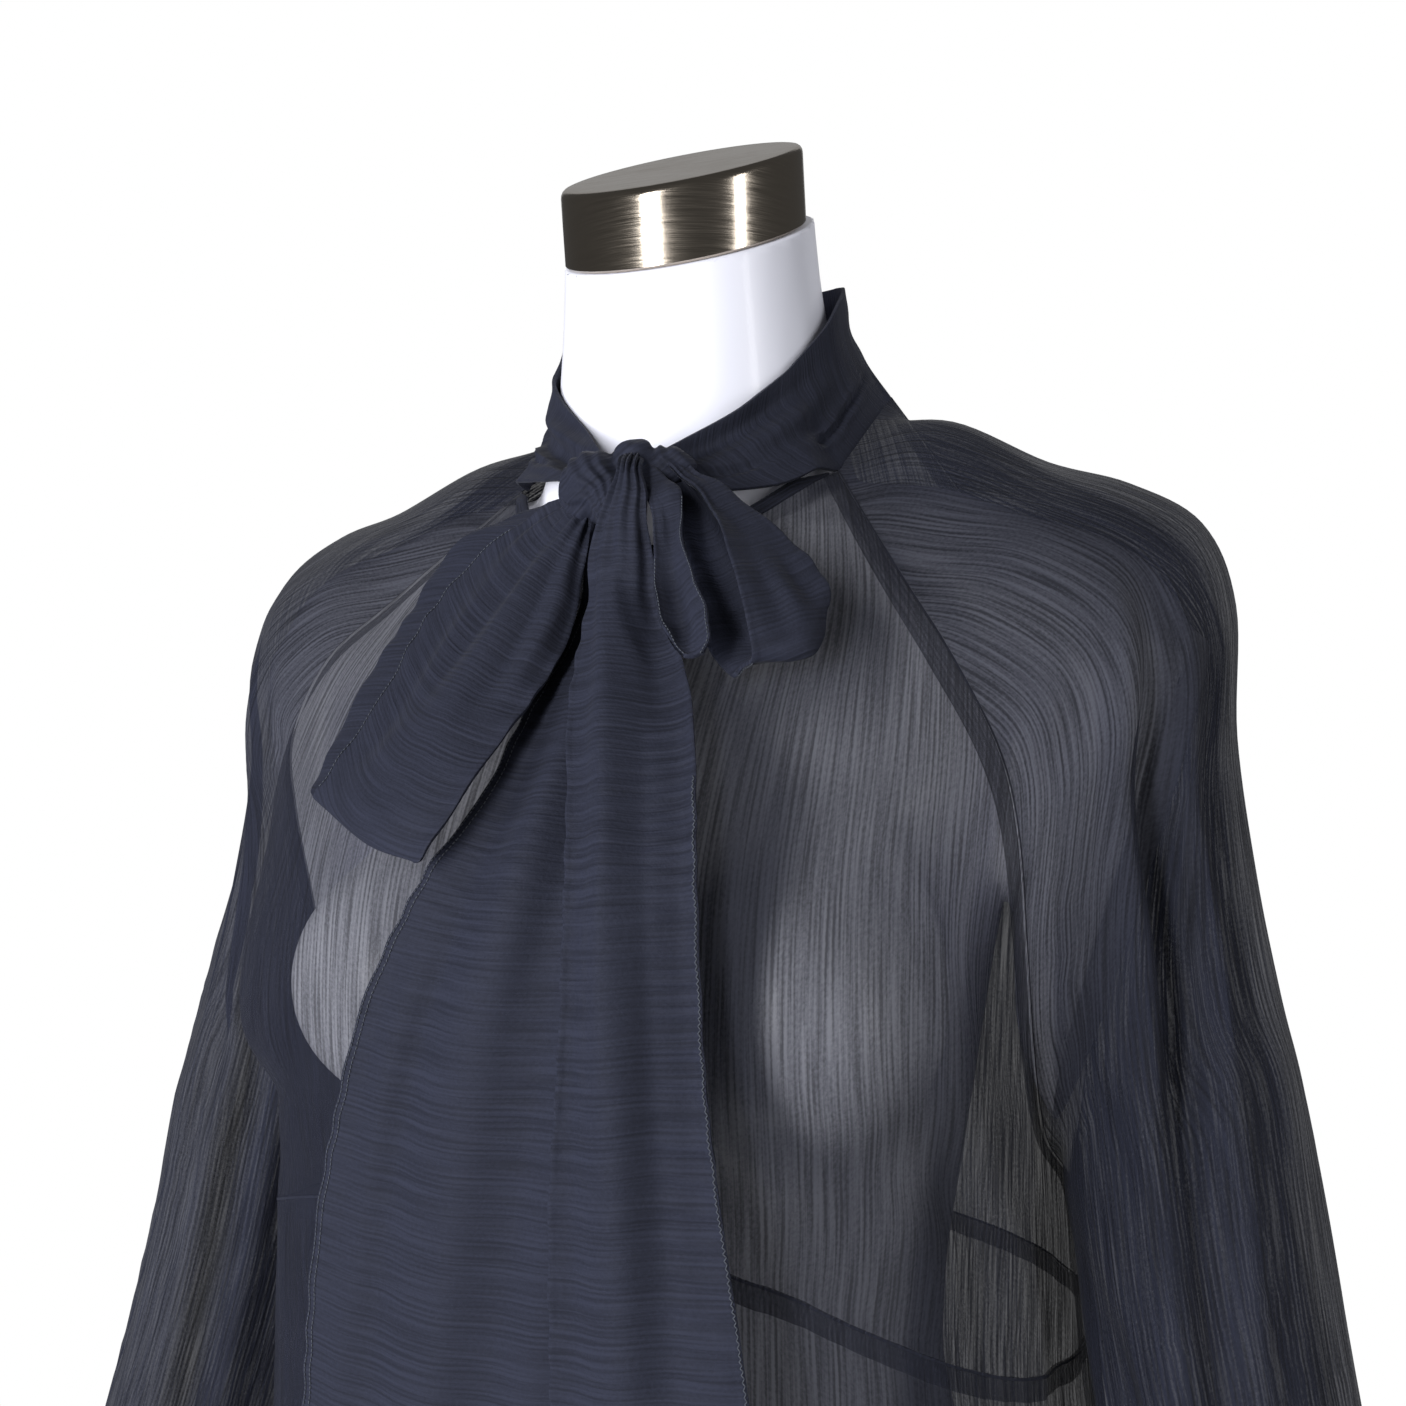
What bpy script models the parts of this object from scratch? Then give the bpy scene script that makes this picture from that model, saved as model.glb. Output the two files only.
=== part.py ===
"""A sheer tie-neck blouse with raglan sleeves, worn by a limbless dress form on a pole and a round base.

Metres, +Z up. The form faces -Y, its left arm side is +X, and the origin is the middle of the base's underside.
Tables are in millimetres, one row for each section, and MM turns them into metres.
"""

import math
from collections import namedtuple

import bmesh
import bpy
import numpy as np
from mathutils import Matrix, Vector
from mathutils.bvhtree import BVHTree

MM = 0.001

# Stand
BASE_DIAMETER = 0.380
BASE_HEIGHT = 0.009
BASE_FOOT_EDGE = 0.001
BASE_TOP_EDGE = 0.003
BASE_SIDES = 72
POLE_DIAMETER = 0.028
POLE_SIDES = 32
FORM_BOTTOM = 0.800
FACE_GAP = 0.0003

# Neck cap, an oblique drum whose two ends tilt forward
CAP_RADIUS = 0.0500
CAP_TILT = math.radians(26.0)
CAP_BOTTOM = Vector((0.0, -0.010, 1.5695))
CAP_TOP = Vector((0.0, -0.0145, 1.6000))
CAP_EDGE = 0.0015
CAP_EDGE_MIDDLE = 0.3
CAP_SIDES = 56

# Form skin
FORM_VOXEL = 0.006
FORM_SMOOTHING = 8
FORM_TRIANGLE_SHARE = 0.046
BUST_CENTRE = Vector((0.083, -0.084, 1.275))
BUST_RADIUS = 0.059
ARM_CUT_OUTER = Vector((0.202, 0.0, 1.400))
ARM_CUT_TIP = Vector((0.150, 0.0, 1.226))
CUT_BLOCK = 0.5
ARM_CUT_BLOCK = 0.25
TORSO_SIDES = 32
LIMB_SIDES = 24
TORSO_SQUARE = 2.2
LIMB_SQUARE = 2.1
ARM_BACKWARDS = 4

# Cloth
CLOTH = 0.0012
TIE_CLOTH = 0.0018
SEAM_GAP = 0.0003
FORM_GAP = 0.0014
CLEARING_ROUNDS = 4
SHARED_SEAM_COSINE = 0.5
BODY_COLUMNS = 32
SLEEVE_QUARTERS = (5, 6, 6, 5)
GATHERS_PER_PANEL = 8
GATHER_DEPTH_AT_HEM = 0.0050
GATHER_START = 0.25
SECTION_SAG = 2.4
SEAM_PULL = 0.6

# Torso sections: height, half width, front, back
TORSO = [
    (740, 140, 90, 90),
    (790, 156, 96, 104),
    (830, 164, 99, 113),
    (880, 169, 101, 122),
    (930, 168, 101, 124),
    (980, 155, 98, 113),
    (1030, 132, 93, 94),
    (1080, 112, 89, 78),
    (1125, 103, 88, 70),
    (1165, 105, 90, 71),
    (1210, 112, 95, 79),
    (1250, 118, 96, 87),
    (1290, 124, 92, 94),
    (1330, 132, 85, 98),
    (1370, 142, 76, 99),
    (1405, 148, 66, 96),
    (1430, 138, 58, 88),
    (1452, 108, 52, 76),
]

# Shoulder sections, from the middle outwards: distance from the middle, top, bottom, front, back
SHOULDER = [
    (0, 1466, 1400, 48, 74),
    (50, 1469, 1396, 43, 72),
    (80, 1469, 1390, 38, 66),
    (107, 1466, 1380, 38, 60),
    (140, 1453, 1370, 40, 56),
    (168, 1445, 1362, 41, 52),
    (184, 1434, 1358, 37, 45),
    (195, 1417, 1362, 28, 34),
    (200, 1400, 1378, 14, 20),
]

# Neck sections: height, radius, middle of the ring
NECK = [
    (1440, 74, 6),
    (1470, 66, 6),
    (1495, 60, 5),
    (1525, 56.5, 2),
    (1555, 53.0, -3),
    (1600, 50.5, -9),
    (1630, 50.0, -13),
]

# Upper arm sections: height, middle of the ring across, half width, half depth
UPPER_ARM = [
    (1405, 172, 36, 44),
    (1370, 172, 37, 45),
    (1330, 171, 37, 44),
    (1290, 170, 36, 42),
    (1262, 169, 35, 39),
    (1240, 170, 30, 32),
    (1222, 172, 22, 22),
    (1212, 174, 12, 12),
]

Station = namedtuple(
    "Station", "front_seam front_middle back_seam back_middle arm_front arm_outer arm_back square"
)

# Blouse sections from the neck to the underarm. A middle is (depth, height) on the centre line.
STATIONS = [
    Station((70, -20, 1472), (-76, 1434), (75, 30, 1508), (62, 1512),
            (71.5, -8, 1481), (73.5, 6, 1492), (74.5, 19, 1501), 2.1),
    Station((90, -40, 1448), (-91, 1411), (92, 50, 1480), (78, 1478),
            (100, -19, 1477), (107, 6, 1492), (102, 32, 1489), 2.2),
    Station((110, -58, 1424), (-106, 1391), (110, 68, 1450), (94, 1445),
            (131, -33, 1456), (145, 6, 1471), (133, 44, 1463), 2.3),
    Station((130, -75, 1400), (-125, 1366), (128, 82, 1418), (106, 1412),
            (158, -44, 1439), (175, 6, 1460), (160, 55, 1441), 2.4),
    Station((147, -76, 1368), (-141, 1339), (142, 88, 1380), (112, 1376),
            (181, -51, 1415), (200, 5, 1445), (181, 60, 1414), 2.6),
    Station((152, -68, 1339), (-151, 1313), (148, 84, 1340), (113, 1340),
            (192, -55, 1382), (216, 2, 1418), (192, 60, 1380), 2.8),
    Station((152, -56, 1298), (-155, 1286), (151, 70, 1298), (110, 1300),
            (189, -57, 1334), (219, -2, 1370), (189, 57, 1334), 2.9),
    Station((152, -46, 1260), (-155, 1264), (152, 52, 1260), (106, 1264),
            (190, -58, 1291), (226, -4, 1320), (190, 52, 1291), 2.9),
    Station((152, -28, 1228), (-153, 1245), (153, 30, 1228), (104, 1234),
            (194, -58, 1255), (233, -6, 1280), (194, 48, 1255), 2.8),
    Station((155, 0, 1208), (-151, 1231), (155, 0, 1208), (102, 1212),
            (197, -58, 1228), (240, -8, 1248), (197, 44, 1228), 2.7),
]

Ring = namedtuple("Ring", "side side_height front_depth front_height back_depth square")

# Under the arms the body is a tube: two sections down to the under-bust seam, then the skirt of the blouse
UPPER_TUBE = [
    Ring(158, 1184, -149, 1221, 101, 2.6),
    Ring(161, 1160, -147, 1212, 100, 2.6),
]
LOWER_TUBE = [
    Ring(163, 1134, -145, 1180, 100, 2.6),
    Ring(167, 1094, -143, 1130, 102, 2.5),
    Ring(171, 1051, -141, 1076, 110, 2.5),
    Ring(178, 1002, -140, 1018, 124, 2.4),
    Ring(186, 952, -140, 962, 137, 2.4),
    Ring(192, 904, -142, 910, 143, 2.4),
    Ring(195, 862, -144, 865, 146, 2.4),
]

Tube = namedtuple("Tube", "inner inner_height outer outer_height middle half_depth")

# Sleeve sections under the underarm point, gathered into the cuff's top edge
SLEEVE_TUBE = [
    Tube(162, 1180, 248, 1208, -13, 51),
    Tube(169, 1142, 257, 1160, -17, 52),
    Tube(179, 1092, 268, 1102, -23, 54),
    Tube(190, 1042, 279, 1046, -29, 57),
    Tube(200, 992, 289, 992, -34, 60),
    Tube(208, 946, 297, 944, -39, 61),
    Tube(214, 914, 298, 912, -42, 57),
    Tube(219, 896, 295, 896, -44, 48),
    Tube(225, 884, 289, 884, -45, 33),
]
CUFF = [
    Tube(225, 884, 289, 884, -45, 33),
    Tube(226, 861, 289, 861, -45.5, 33),
    Tube(227, 838, 290, 838, -46, 33),
]

Fold = namedtuple("Fold", "column width depth first_row last_row")

# Long soft troughs down the sleeves, in columns counted from the front seam and rows from the neck
SLEEVE_FOLDS = [
    Fold(7.5, 1.3, 7.0, 6, 17),
    Fold(3.0, 1.1, 5.0, 10, 18),
    Fold(14.5, 1.4, 6.0, 8, 18),
    Fold(19.0, 1.2, 4.5, 10, 17),
]

Set = namedtuple("Set", "left_out left_up right_out right_up")

# How far each sleeve section is set out and up from its table values, by row from the neck
SLEEVE_SET = [
    Set(0, 0, 0, 0),
    Set(0, 0, 0, -5),
    Set(0, 3, 0, -2),
    Set(1, 4, -1, 0),
    Set(2, 3, -2, 0),
    Set(-2, 0, -6, 0),
    Set(-4, 0, -8, 0),
    Set(-4, 0, -2, 0),
    Set(-3, 0, 4, 0),
    Set(-3, 0, 6, 0),
    Set(-3, 0, 5, 0),
    Set(-4, 0, 3, 0),
    Set(-4, 0, 3, 0),
    Set(-4, 0, 4, 0),
    Set(-4, 0, 4, 0),
    Set(-4, 0, 4, 0),
    Set(-4, 0, 4, 0),
    Set(-3, 0, 2, 0),
    Set(0, 0, 0, 0),
]

# The under-bust seam hangs lower on the left side than on the right, most of all at the seam itself
SEAM_TILT = 0.014
SEAM_TILT_BY_ROW = {-3: 0.15, -2: 0.4, -1: 0.75, 0: 1.0, 1: 0.8, 2: 0.5, 3: 0.25}

# Bound edge of the front neckline
BINDING_HEIGHT = 0.007
BINDING_TAPER = 0.020
BINDING_END = 0.12

# Tie collar, from the knot round the wearer's left, the back and the right to the knot again: lower, upper.
# The stretches sewn to the neck have no lower point here, because they follow the neck seam.
COLLAR_LEFT_FREE = [
    ((10, -79, 1462), (10, -74, 1473)),
    ((28, -74, 1460), (19, -68, 1477)),
    ((45, -64, 1461), (29, -61, 1483)),
    ((59, -51, 1464), (42, -50, 1493)),
    ((68, -36, 1471), (53, -30, 1510)),
]
COLLAR_TOP_SEWN = [
    (60, -8, 1530),
    (60, 8, 1543),
    (55, 29, 1555),
    (42, 46, 1559),
    (22, 57, 1560),
    (0, 60, 1560),
    (-22, 57, 1560),
    (-42, 46, 1559),
    (-55, 29, 1555),
    (-61, 10, 1544),
    (-60, -6, 1531),
]
COLLAR_RIGHT_FREE = [
    ((-65, -36, 1473), (-47, -28, 1512)),
    ((-50, -51, 1471), (-32, -47, 1497)),
    ((-30, -66, 1468), (-16, -62, 1484)),
    ((-4, -78, 1463), (-3, -73, 1474)),
]
COLLAR_FLARE = 1.7
COLLAR_HEIGHTS = (1.0, 0.66, 0.33, 0.0)

# Knot: the middle and half sizes of its lumps
KNOT_VOXEL = 0.0016
KNOT_TRIANGLE_SHARE = 0.085
KNOT_LUMPS = [
    ((-3, -84, 1461), (13, 10, 14)),
    ((12, -79, 1471), (9, 8, 8)),
    ((22, -77, 1468), (13, 8, 8)),
    ((7, -88, 1455), (9, 7, 9)),
]
KNOT_GAP = 0.00035
SLIVER = 0.00003

# Ribbons of the bow, root first. Each row runs across the ribbon: left or upper edge, middle, right or lower edge.
LOOP_RIGHT = [
    ((-6, -82, 1463), (-4, -84, 1459), (-2, -85, 1455)),
    ((-37, -84, 1448), (-12, -99, 1436), (0, -98, 1426)),
    ((-56, -89, 1432), (-17, -113, 1415), (1, -110, 1404)),
    ((-67, -102, 1410), (-30, -127, 1393), (-2, -129, 1384)),
    ((-71, -119, 1385), (-33, -143, 1372), (-9, -145, 1365)),
    ((-82, -136, 1358), (-44, -157, 1345), (-17, -158, 1345)),
    ((-89, -137, 1348), (-53, -155, 1334), (-27, -162, 1329)),
    ((-91, -131, 1354), (-56, -147, 1342), (-28, -156, 1335)),
    ((-88, -107, 1388), (-46, -124, 1381), (-17, -133, 1374)),
    ((-80, -86, 1418), (-38, -104, 1411), (-9, -113, 1402)),
    ((-64, -74, 1446), (-33, -86, 1440), (-9, -95, 1428)),
    ((-8, -78, 1461), (-7, -80, 1458), (-6, -81, 1454)),
]
LOOP_LEFT = [
    ((25, -83, 1469), (27, -81, 1470), (29, -79, 1470)),
    ((45, -90, 1455), (46, -83, 1459), (48, -79, 1459)),
    ((57, -101, 1438), (62, -92, 1443), (66, -83, 1446)),
    ((68, -113, 1420), (78, -103, 1424), (81, -87, 1434)),
    ((75, -120, 1403), (90, -111, 1406), (90, -92, 1425)),
    ((75, -119, 1396), (93, -108, 1398), (93, -93, 1416)),
    ((70, -115, 1393), (82, -104, 1401), (86, -90, 1417)),
    ((65, -113, 1391), (71, -99, 1409), (74, -85, 1429)),
    ((53, -107, 1403), (58, -90, 1427), (61, -80, 1443)),
    ((42, -94, 1427), (44, -82, 1446), (47, -76, 1453)),
    ((25, -79, 1463), (27, -78, 1464), (29, -76, 1465)),
]
LOBE = [
    ((10, -86, 1466), (15, -86, 1467), (21, -84, 1468)),
    ((24, -93, 1455), (30, -96, 1456), (36, -91, 1457)),
    ((32, -104, 1441), (37, -106, 1439), (43, -104, 1440)),
    ((36, -113, 1426), (43, -111, 1424), (53, -115, 1424)),
    ((40, -119, 1415), (48, -117, 1412), (60, -121, 1413)),
    ((46, -123, 1405), (52, -121, 1403), (62, -124, 1404)),
    ((52, -124, 1399), (56, -124, 1398), (60, -124, 1399)),
]
REAR_TAIL = [
    ((-3, -86, 1452), (3, -87, 1451), (10, -86, 1452)),
    ((-4, -89, 1428), (8, -91, 1427), (24, -88, 1427)),
    ((-4, -98, 1408), (16, -101, 1406), (34, -98, 1407)),
    ((-10, -120, 1380), (18, -125, 1377), (46, -121, 1377)),
    ((-17, -139, 1349), (18, -144, 1345), (54, -140, 1345)),
    ((-32, -151, 1323), (14, -156, 1319), (56, -151, 1319)),
    ((-50, -158, 1284), (4, -161, 1286), (52, -158, 1287)),
    ((-62, -158, 1246), (-5, -161, 1248), (47, -159, 1250)),
    ((-74, -156, 1196), (-14, -159, 1198), (42, -157, 1200)),
    ((-81, -153, 1136), (-21, -156, 1138), (37, -154, 1140)),
    ((-84, -151, 1076), (-26, -154, 1077), (32, -152, 1078)),
    ((-85, -150, 1010), (-29, -153, 1010), (29, -151, 1010)),
]
FRONT_TAIL = [
    ((2, -87, 1453), (7, -88, 1453), (13, -87, 1453)),
    ((3, -98, 1440), (14, -104, 1439), (24, -98, 1439)),
    ((6, -104, 1419), (21, -112, 1418), (34, -105, 1417)),
    ((8, -118, 1397), (31, -125, 1395), (49, -117, 1396)),
    ((13, -133, 1376), (41, -139, 1375), (59, -130, 1377)),
    ((22, -149, 1350), (50, -152, 1351), (67, -145, 1352)),
    ((28, -162, 1320), (55, -165, 1321), (73, -157, 1322)),
    ((29, -168, 1266), (56, -171, 1267), (78, -162, 1268)),
    ((26, -167, 1222), (55, -170, 1224), (83, -161, 1226)),
    ((25, -165, 1180), (57, -168, 1182), (89, -159, 1184)),
    ((24, -162, 1140), (58, -166, 1142), (93, -157, 1144)),
    ((24, -160, 1085), (58, -164, 1086), (94, -156, 1087)),
    ((24, -159, 1035), (58, -163, 1035), (95, -155, 1035)),
]


def clear_scene():
    for item in list(bpy.data.objects):
        bpy.data.objects.remove(item, do_unlink=True)


def material(name, colour, roughness, metallic=0.0):
    made = bpy.data.materials.new(name)
    made.use_nodes = True
    shader = made.node_tree.nodes["Principled BSDF"]
    shader.inputs["Base Color"].default_value = (*colour, 1.0)
    shader.inputs["Roughness"].default_value = roughness
    shader.inputs["Metallic"].default_value = metallic
    return made


def add_object(name, points, faces, finish):
    mesh = bpy.data.meshes.new(name)
    mesh.from_pydata([tuple(p) for p in points], [], faces)
    mesh.materials.append(finish)
    mesh.shade_smooth()
    mesh.set_sharp_from_angle(angle=math.radians(40.0))
    made = bpy.data.objects.new(name, mesh)
    bpy.context.collection.objects.link(made)
    return made


def loft(rings):
    """One closed body through rings of equal count, with a flat fan on each end."""
    count = len(rings[0])
    points = [p for ring in rings for p in ring]
    faces = []
    for row in range(len(rings) - 1):
        low, high = row * count, (row + 1) * count
        for i in range(count):
            j = (i + 1) % count
            faces.append((low + i, low + j, high + j, high + i))
    faces.append(tuple(reversed(range(count))))
    faces.append(tuple(range(len(points) - count, len(points))))
    return points, faces


def superellipse(half_width, front, back, square, count):
    ring = []
    for i in range(count):
        angle = 2.0 * math.pi * i / count
        across, along = math.cos(angle), math.sin(angle)
        depth = back if along > 0 else front
        x = math.copysign(abs(across) ** (2.0 / square), across) * half_width
        y = math.copysign(abs(along) ** (2.0 / square), along) * depth
        ring.append((x, y))
    return ring


def form_volumes():
    """Points and faces of the overlapping volumes that the form's skin is drawn over."""
    torso = []
    for height, half_width, front, back in TORSO:
        ring = superellipse(half_width, front, back, TORSO_SQUARE, TORSO_SIDES)
        torso.append([(x * MM, y * MM, height * MM) for x, y in ring])
    neck = []
    for height, radius, middle in NECK:
        ring = superellipse(radius, radius, radius, 2, LIMB_SIDES)
        neck.append([(x * MM, (y + middle) * MM, height * MM) for x, y in ring])
    volumes = [loft(torso), loft(neck)]
    for side in (1, -1):
        shoulder = []
        for out, top, bottom, front, back in SHOULDER:
            middle, half = (top + bottom) / 2, (top - bottom) / 2
            ring = superellipse(half, front, back, LIMB_SQUARE, LIMB_SIDES)
            shoulder.append([(side * out * MM, y * MM, (middle + x) * MM) for x, y in ring])
        arm = []
        for height, across, half_width, half_depth in UPPER_ARM:
            ring = superellipse(half_width, half_depth, half_depth, LIMB_SQUARE, LIMB_SIDES)
            arm.append([((across + x) * side * MM, (y + ARM_BACKWARDS) * MM, height * MM) for x, y in ring])
        volumes += [loft(shoulder), loft(arm)]
    return volumes


def joined_mesh(name, volumes, spheres):
    """Closed volumes in one mesh, each with its faces outwards."""
    shape = bmesh.new()
    for points, faces in volumes:
        corners = [shape.verts.new(p) for p in points]
        for face in faces:
            shape.faces.new([corners[i] for i in face])
    for centre, radius in spheres:
        bmesh.ops.create_icosphere(shape, subdivisions=4, radius=radius, matrix=Matrix.Translation(centre))
    bmesh.ops.recalc_face_normals(shape, faces=shape.faces)
    mesh = bpy.data.meshes.new(name)
    shape.to_mesh(mesh)
    shape.free()
    return mesh


def cutter(name, centre, size, turn):
    """A wire block that cuts the form flat, turned about X or Y."""
    shape = bmesh.new()
    bmesh.ops.create_cube(shape, size=1.0, matrix=Matrix.Diagonal((*size, 1.0)))
    mesh = bpy.data.meshes.new(name)
    shape.to_mesh(mesh)
    shape.free()
    made = bpy.data.objects.new(name, mesh)
    bpy.context.collection.objects.link(made)
    made.location = centre
    made.rotation_euler = turn
    made.hide_render = True
    made.display_type = "WIRE"
    return made


def make_form(finish):
    spheres = [(Vector((side * BUST_CENTRE.x, BUST_CENTRE.y, BUST_CENTRE.z)), BUST_RADIUS) for side in (1, -1)]
    mesh = joined_mesh("dress_form", form_volumes(), spheres)
    mesh.materials.append(finish)
    form = bpy.data.objects.new("dress_form", mesh)
    bpy.context.collection.objects.link(form)
    skin = form.modifiers.new("Skin", "REMESH")
    skin.mode = "VOXEL"
    skin.voxel_size = FORM_VOXEL
    skin.use_smooth_shade = True
    soft = form.modifiers.new("Soften", "SMOOTH")
    soft.factor = 0.5
    soft.iterations = FORM_SMOOTHING
    thin = form.modifiers.new("Thin out", "DECIMATE")
    thin.ratio = FORM_TRIANGLE_SHARE

    neck_up = Vector((0.0, -math.sin(CAP_TILT), math.cos(CAP_TILT)))
    neck_centre = CAP_BOTTOM + neck_up * (CUT_BLOCK / 2)
    hip_centre = (0.0, 0.0, FORM_BOTTOM - CUT_BLOCK / 2)
    cuts = [
        cutter("cut_neck", neck_centre, (CUT_BLOCK,) * 3, (CAP_TILT, 0.0, 0.0)),
        cutter("cut_hips", hip_centre, (CUT_BLOCK,) * 3, (0.0, 0.0, 0.0)),
    ]
    slope = math.atan2(ARM_CUT_OUTER.x - ARM_CUT_TIP.x, ARM_CUT_OUTER.z - ARM_CUT_TIP.z)
    middle = (ARM_CUT_OUTER + ARM_CUT_TIP) / 2
    for side, name in ((1, "cut_arm_left"), (-1, "cut_arm_right")):
        outwards = Vector((side * math.cos(slope), 0.0, -math.sin(slope)))
        centre = Vector((side * middle.x, 0.0, middle.z)) + outwards * (ARM_CUT_BLOCK / 2)
        cuts.append(cutter(name, centre, (ARM_CUT_BLOCK,) * 3, (0.0, side * slope, 0.0)))
    for block_object in cuts:
        cut = form.modifiers.new(block_object.name, "BOOLEAN")
        cut.operation = "DIFFERENCE"
        cut.solver = "EXACT"
        cut.object = block_object
    return form


def surface_of(thing):
    """The nearest-point tree of an object as its modifiers leave it."""
    bpy.context.view_layer.update()
    graph = bpy.context.evaluated_depsgraph_get()
    return BVHTree.FromObject(thing, graph)


def tilted_circle(centre, radius, count):
    ring = []
    for i in range(count):
        angle = 2.0 * math.pi * i / count
        along = math.sin(angle) * radius
        ring.append((
            centre.x + math.cos(angle) * radius,
            centre.y + along * math.cos(CAP_TILT),
            centre.z + along * math.sin(CAP_TILT),
        ))
    return ring


def make_cap(finish):
    up = Vector((0.0, -math.sin(CAP_TILT), math.cos(CAP_TILT)))
    bottom = CAP_BOTTOM + up * FACE_GAP
    lean = (CAP_TOP - bottom) / (CAP_TOP - bottom).dot(up)
    edge = CAP_TOP - lean * CAP_EDGE
    rounding = CAP_EDGE_MIDDLE * CAP_EDGE
    rings = [
        tilted_circle(bottom, CAP_RADIUS, CAP_SIDES),
        tilted_circle(edge, CAP_RADIUS, CAP_SIDES),
        tilted_circle(CAP_TOP - lean * rounding, CAP_RADIUS - rounding, CAP_SIDES),
        tilted_circle(CAP_TOP, CAP_RADIUS - CAP_EDGE, CAP_SIDES),
    ]
    points, faces = loft(rings)
    return add_object("neck_cap", points, faces, finish)


def turned(name, profile, count, finish):
    """A body turned about Z from (radius, height) pairs, bottom to top."""
    rings = []
    for radius, height in profile:
        rings.append([
            (math.cos(2.0 * math.pi * i / count) * radius, math.sin(2.0 * math.pi * i / count) * radius, height)
            for i in range(count)
        ])
    points, faces = loft(rings)
    return add_object(name, points, faces, finish)


def make_stand(finish):
    radius = BASE_DIAMETER / 2
    corner = BASE_TOP_EDGE * (1.0 - math.sqrt(0.5))
    base = [
        (radius - BASE_FOOT_EDGE, 0.0),
        (radius, BASE_FOOT_EDGE),
        (radius, BASE_HEIGHT - BASE_TOP_EDGE),
        (radius - corner, BASE_HEIGHT - corner),
        (radius - BASE_TOP_EDGE, BASE_HEIGHT),
    ]
    turned("stand_base", base, BASE_SIDES, finish)
    pole = [(POLE_DIAMETER / 2, BASE_HEIGHT + FACE_GAP), (POLE_DIAMETER / 2, FORM_BOTTOM - FACE_GAP)]
    turned("stand_pole", pole, POLE_SIDES, finish)


def resample(points, count):
    """The same line with equal steps along it."""
    line = np.asarray(points, dtype=float)
    steps = np.linalg.norm(np.diff(line, axis=0), axis=1)
    run = np.concatenate([[0.0], np.cumsum(steps)])
    wanted = np.linspace(0.0, run[-1], count + 1)
    return np.stack([np.interp(wanted, run, line[:, k]) for k in range(3)], axis=1)


def spline(guides, pieces):
    """A soft line through the guides, with the stated number of equal steps between neighbours."""
    line = np.asarray(guides, dtype=float)
    before = 2 * line[0] - line[1]
    after = 2 * line[-1] - line[-2]
    padded = np.vstack([before, line, after])
    made = [line[0]]
    for k, count in enumerate(pieces):
        p0, p1, p2, p3 = padded[k:k + 4]
        t = np.linspace(0.0, 1.0, 25)[:, None]
        fine = 0.5 * (2 * p1 + (p2 - p0) * t + (2 * p0 - 5 * p1 + 4 * p2 - p3) * t**2
                      + (3 * p1 - p0 - 3 * p2 + p3) * t**3)
        made.extend(resample(fine, count)[1:])
    return np.array(made)


def body_row(side, middle, square):
    """Half a section of the body, mirrored: from the right seam over the centre line to the left seam."""
    across, depth, height = side
    middle_depth, middle_height = middle
    share = min(1.0, max(0.0, depth / middle_depth))
    last = math.acos(share ** (square / 2))
    half_width = across / math.sin(last) ** (2 / square)
    half = []
    for i in range(81):
        angle = last * i / 80
        x = half_width * math.sin(angle) ** (2 / square)
        y = middle_depth * math.cos(angle) ** (2 / square)
        z = middle_height + (height - middle_height) * (x / across) ** SECTION_SAG
        half.append((x, y, z))
    half[-1] = side
    left = resample(half, BODY_COLUMNS // 2)
    right = left[:0:-1] * (-1, 1, 1)
    return np.vstack([right, left])


def body_rows(front):
    """All sections of the front or the back, from the neckline to the hem, and the seam's row number."""
    rows = []
    for s in STATIONS:
        seam = s.front_seam if front else s.back_seam
        middle = s.front_middle if front else s.back_middle
        rows.append(body_row(seam, middle, s.square))
    for ring in UPPER_TUBE + LOWER_TUBE:
        depth = ring.front_depth if front else ring.back_depth
        height = ring.front_height if front else ring.side_height
        rows.append(body_row((ring.side, 0, ring.side_height), (depth, height), ring.square))
    rows = np.array(rows)
    seam = len(STATIONS) + len(UPPER_TUBE) - 1
    steps = len(rows) - 1 - seam
    turn = np.linspace(0.0, 2.0 * math.pi * GATHERS_PER_PANEL, BODY_COLUMNS + 1)
    sign = -1 if front else 1
    for row in range(seam + 1, len(rows)):
        share = GATHER_START + (1.0 - GATHER_START) * (row - seam) / steps
        fade = np.hanning(BODY_COLUMNS + 3)[1:-1]
        rows[row, :, 1] += sign * share * GATHER_DEPTH_AT_HEM / MM * np.sin(turn) * fade
    for step, share in SEAM_TILT_BY_ROW.items():
        across = rows[seam + step, :, 0] / UPPER_TUBE[-1].side
        rows[seam + step, :, 2] -= share * SEAM_TILT / MM * across * np.abs(across)
    return rows * MM, seam


def tube_row(tube):
    """A closed section of a sleeve or cuff, starting and ending at its inner line, by way of the front."""
    centre_x, half_x = (tube.inner + tube.outer) / 2, (tube.outer - tube.inner) / 2
    angles = []
    for quarter, count in enumerate(SLEEVE_QUARTERS):
        angles.extend(math.pi / 2 * (quarter + i / count) for i in range(count))
    angles.append(2 * math.pi)
    row = []
    for angle in angles:
        share = (1 - math.cos(angle)) / 2
        row.append((
            centre_x - half_x * math.cos(angle),
            tube.middle - tube.half_depth * math.sin(angle),
            tube.inner_height + (tube.outer_height - tube.inner_height) * share,
        ))
    row[-1] = row[0]
    return np.array(row)


def underarm_row(station):
    """The section where the two raglan seams meet and the sleeve closes into a tube."""
    tube = Tube(station.front_seam[0], station.front_seam[2], station.arm_outer[0], station.arm_outer[2],
                station.arm_outer[1] / 2, (station.arm_back[1] - station.arm_front[1]) / 2)
    row = tube_row(tube)
    row[0] = station.front_seam
    row[-1] = station.front_seam
    return row


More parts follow.
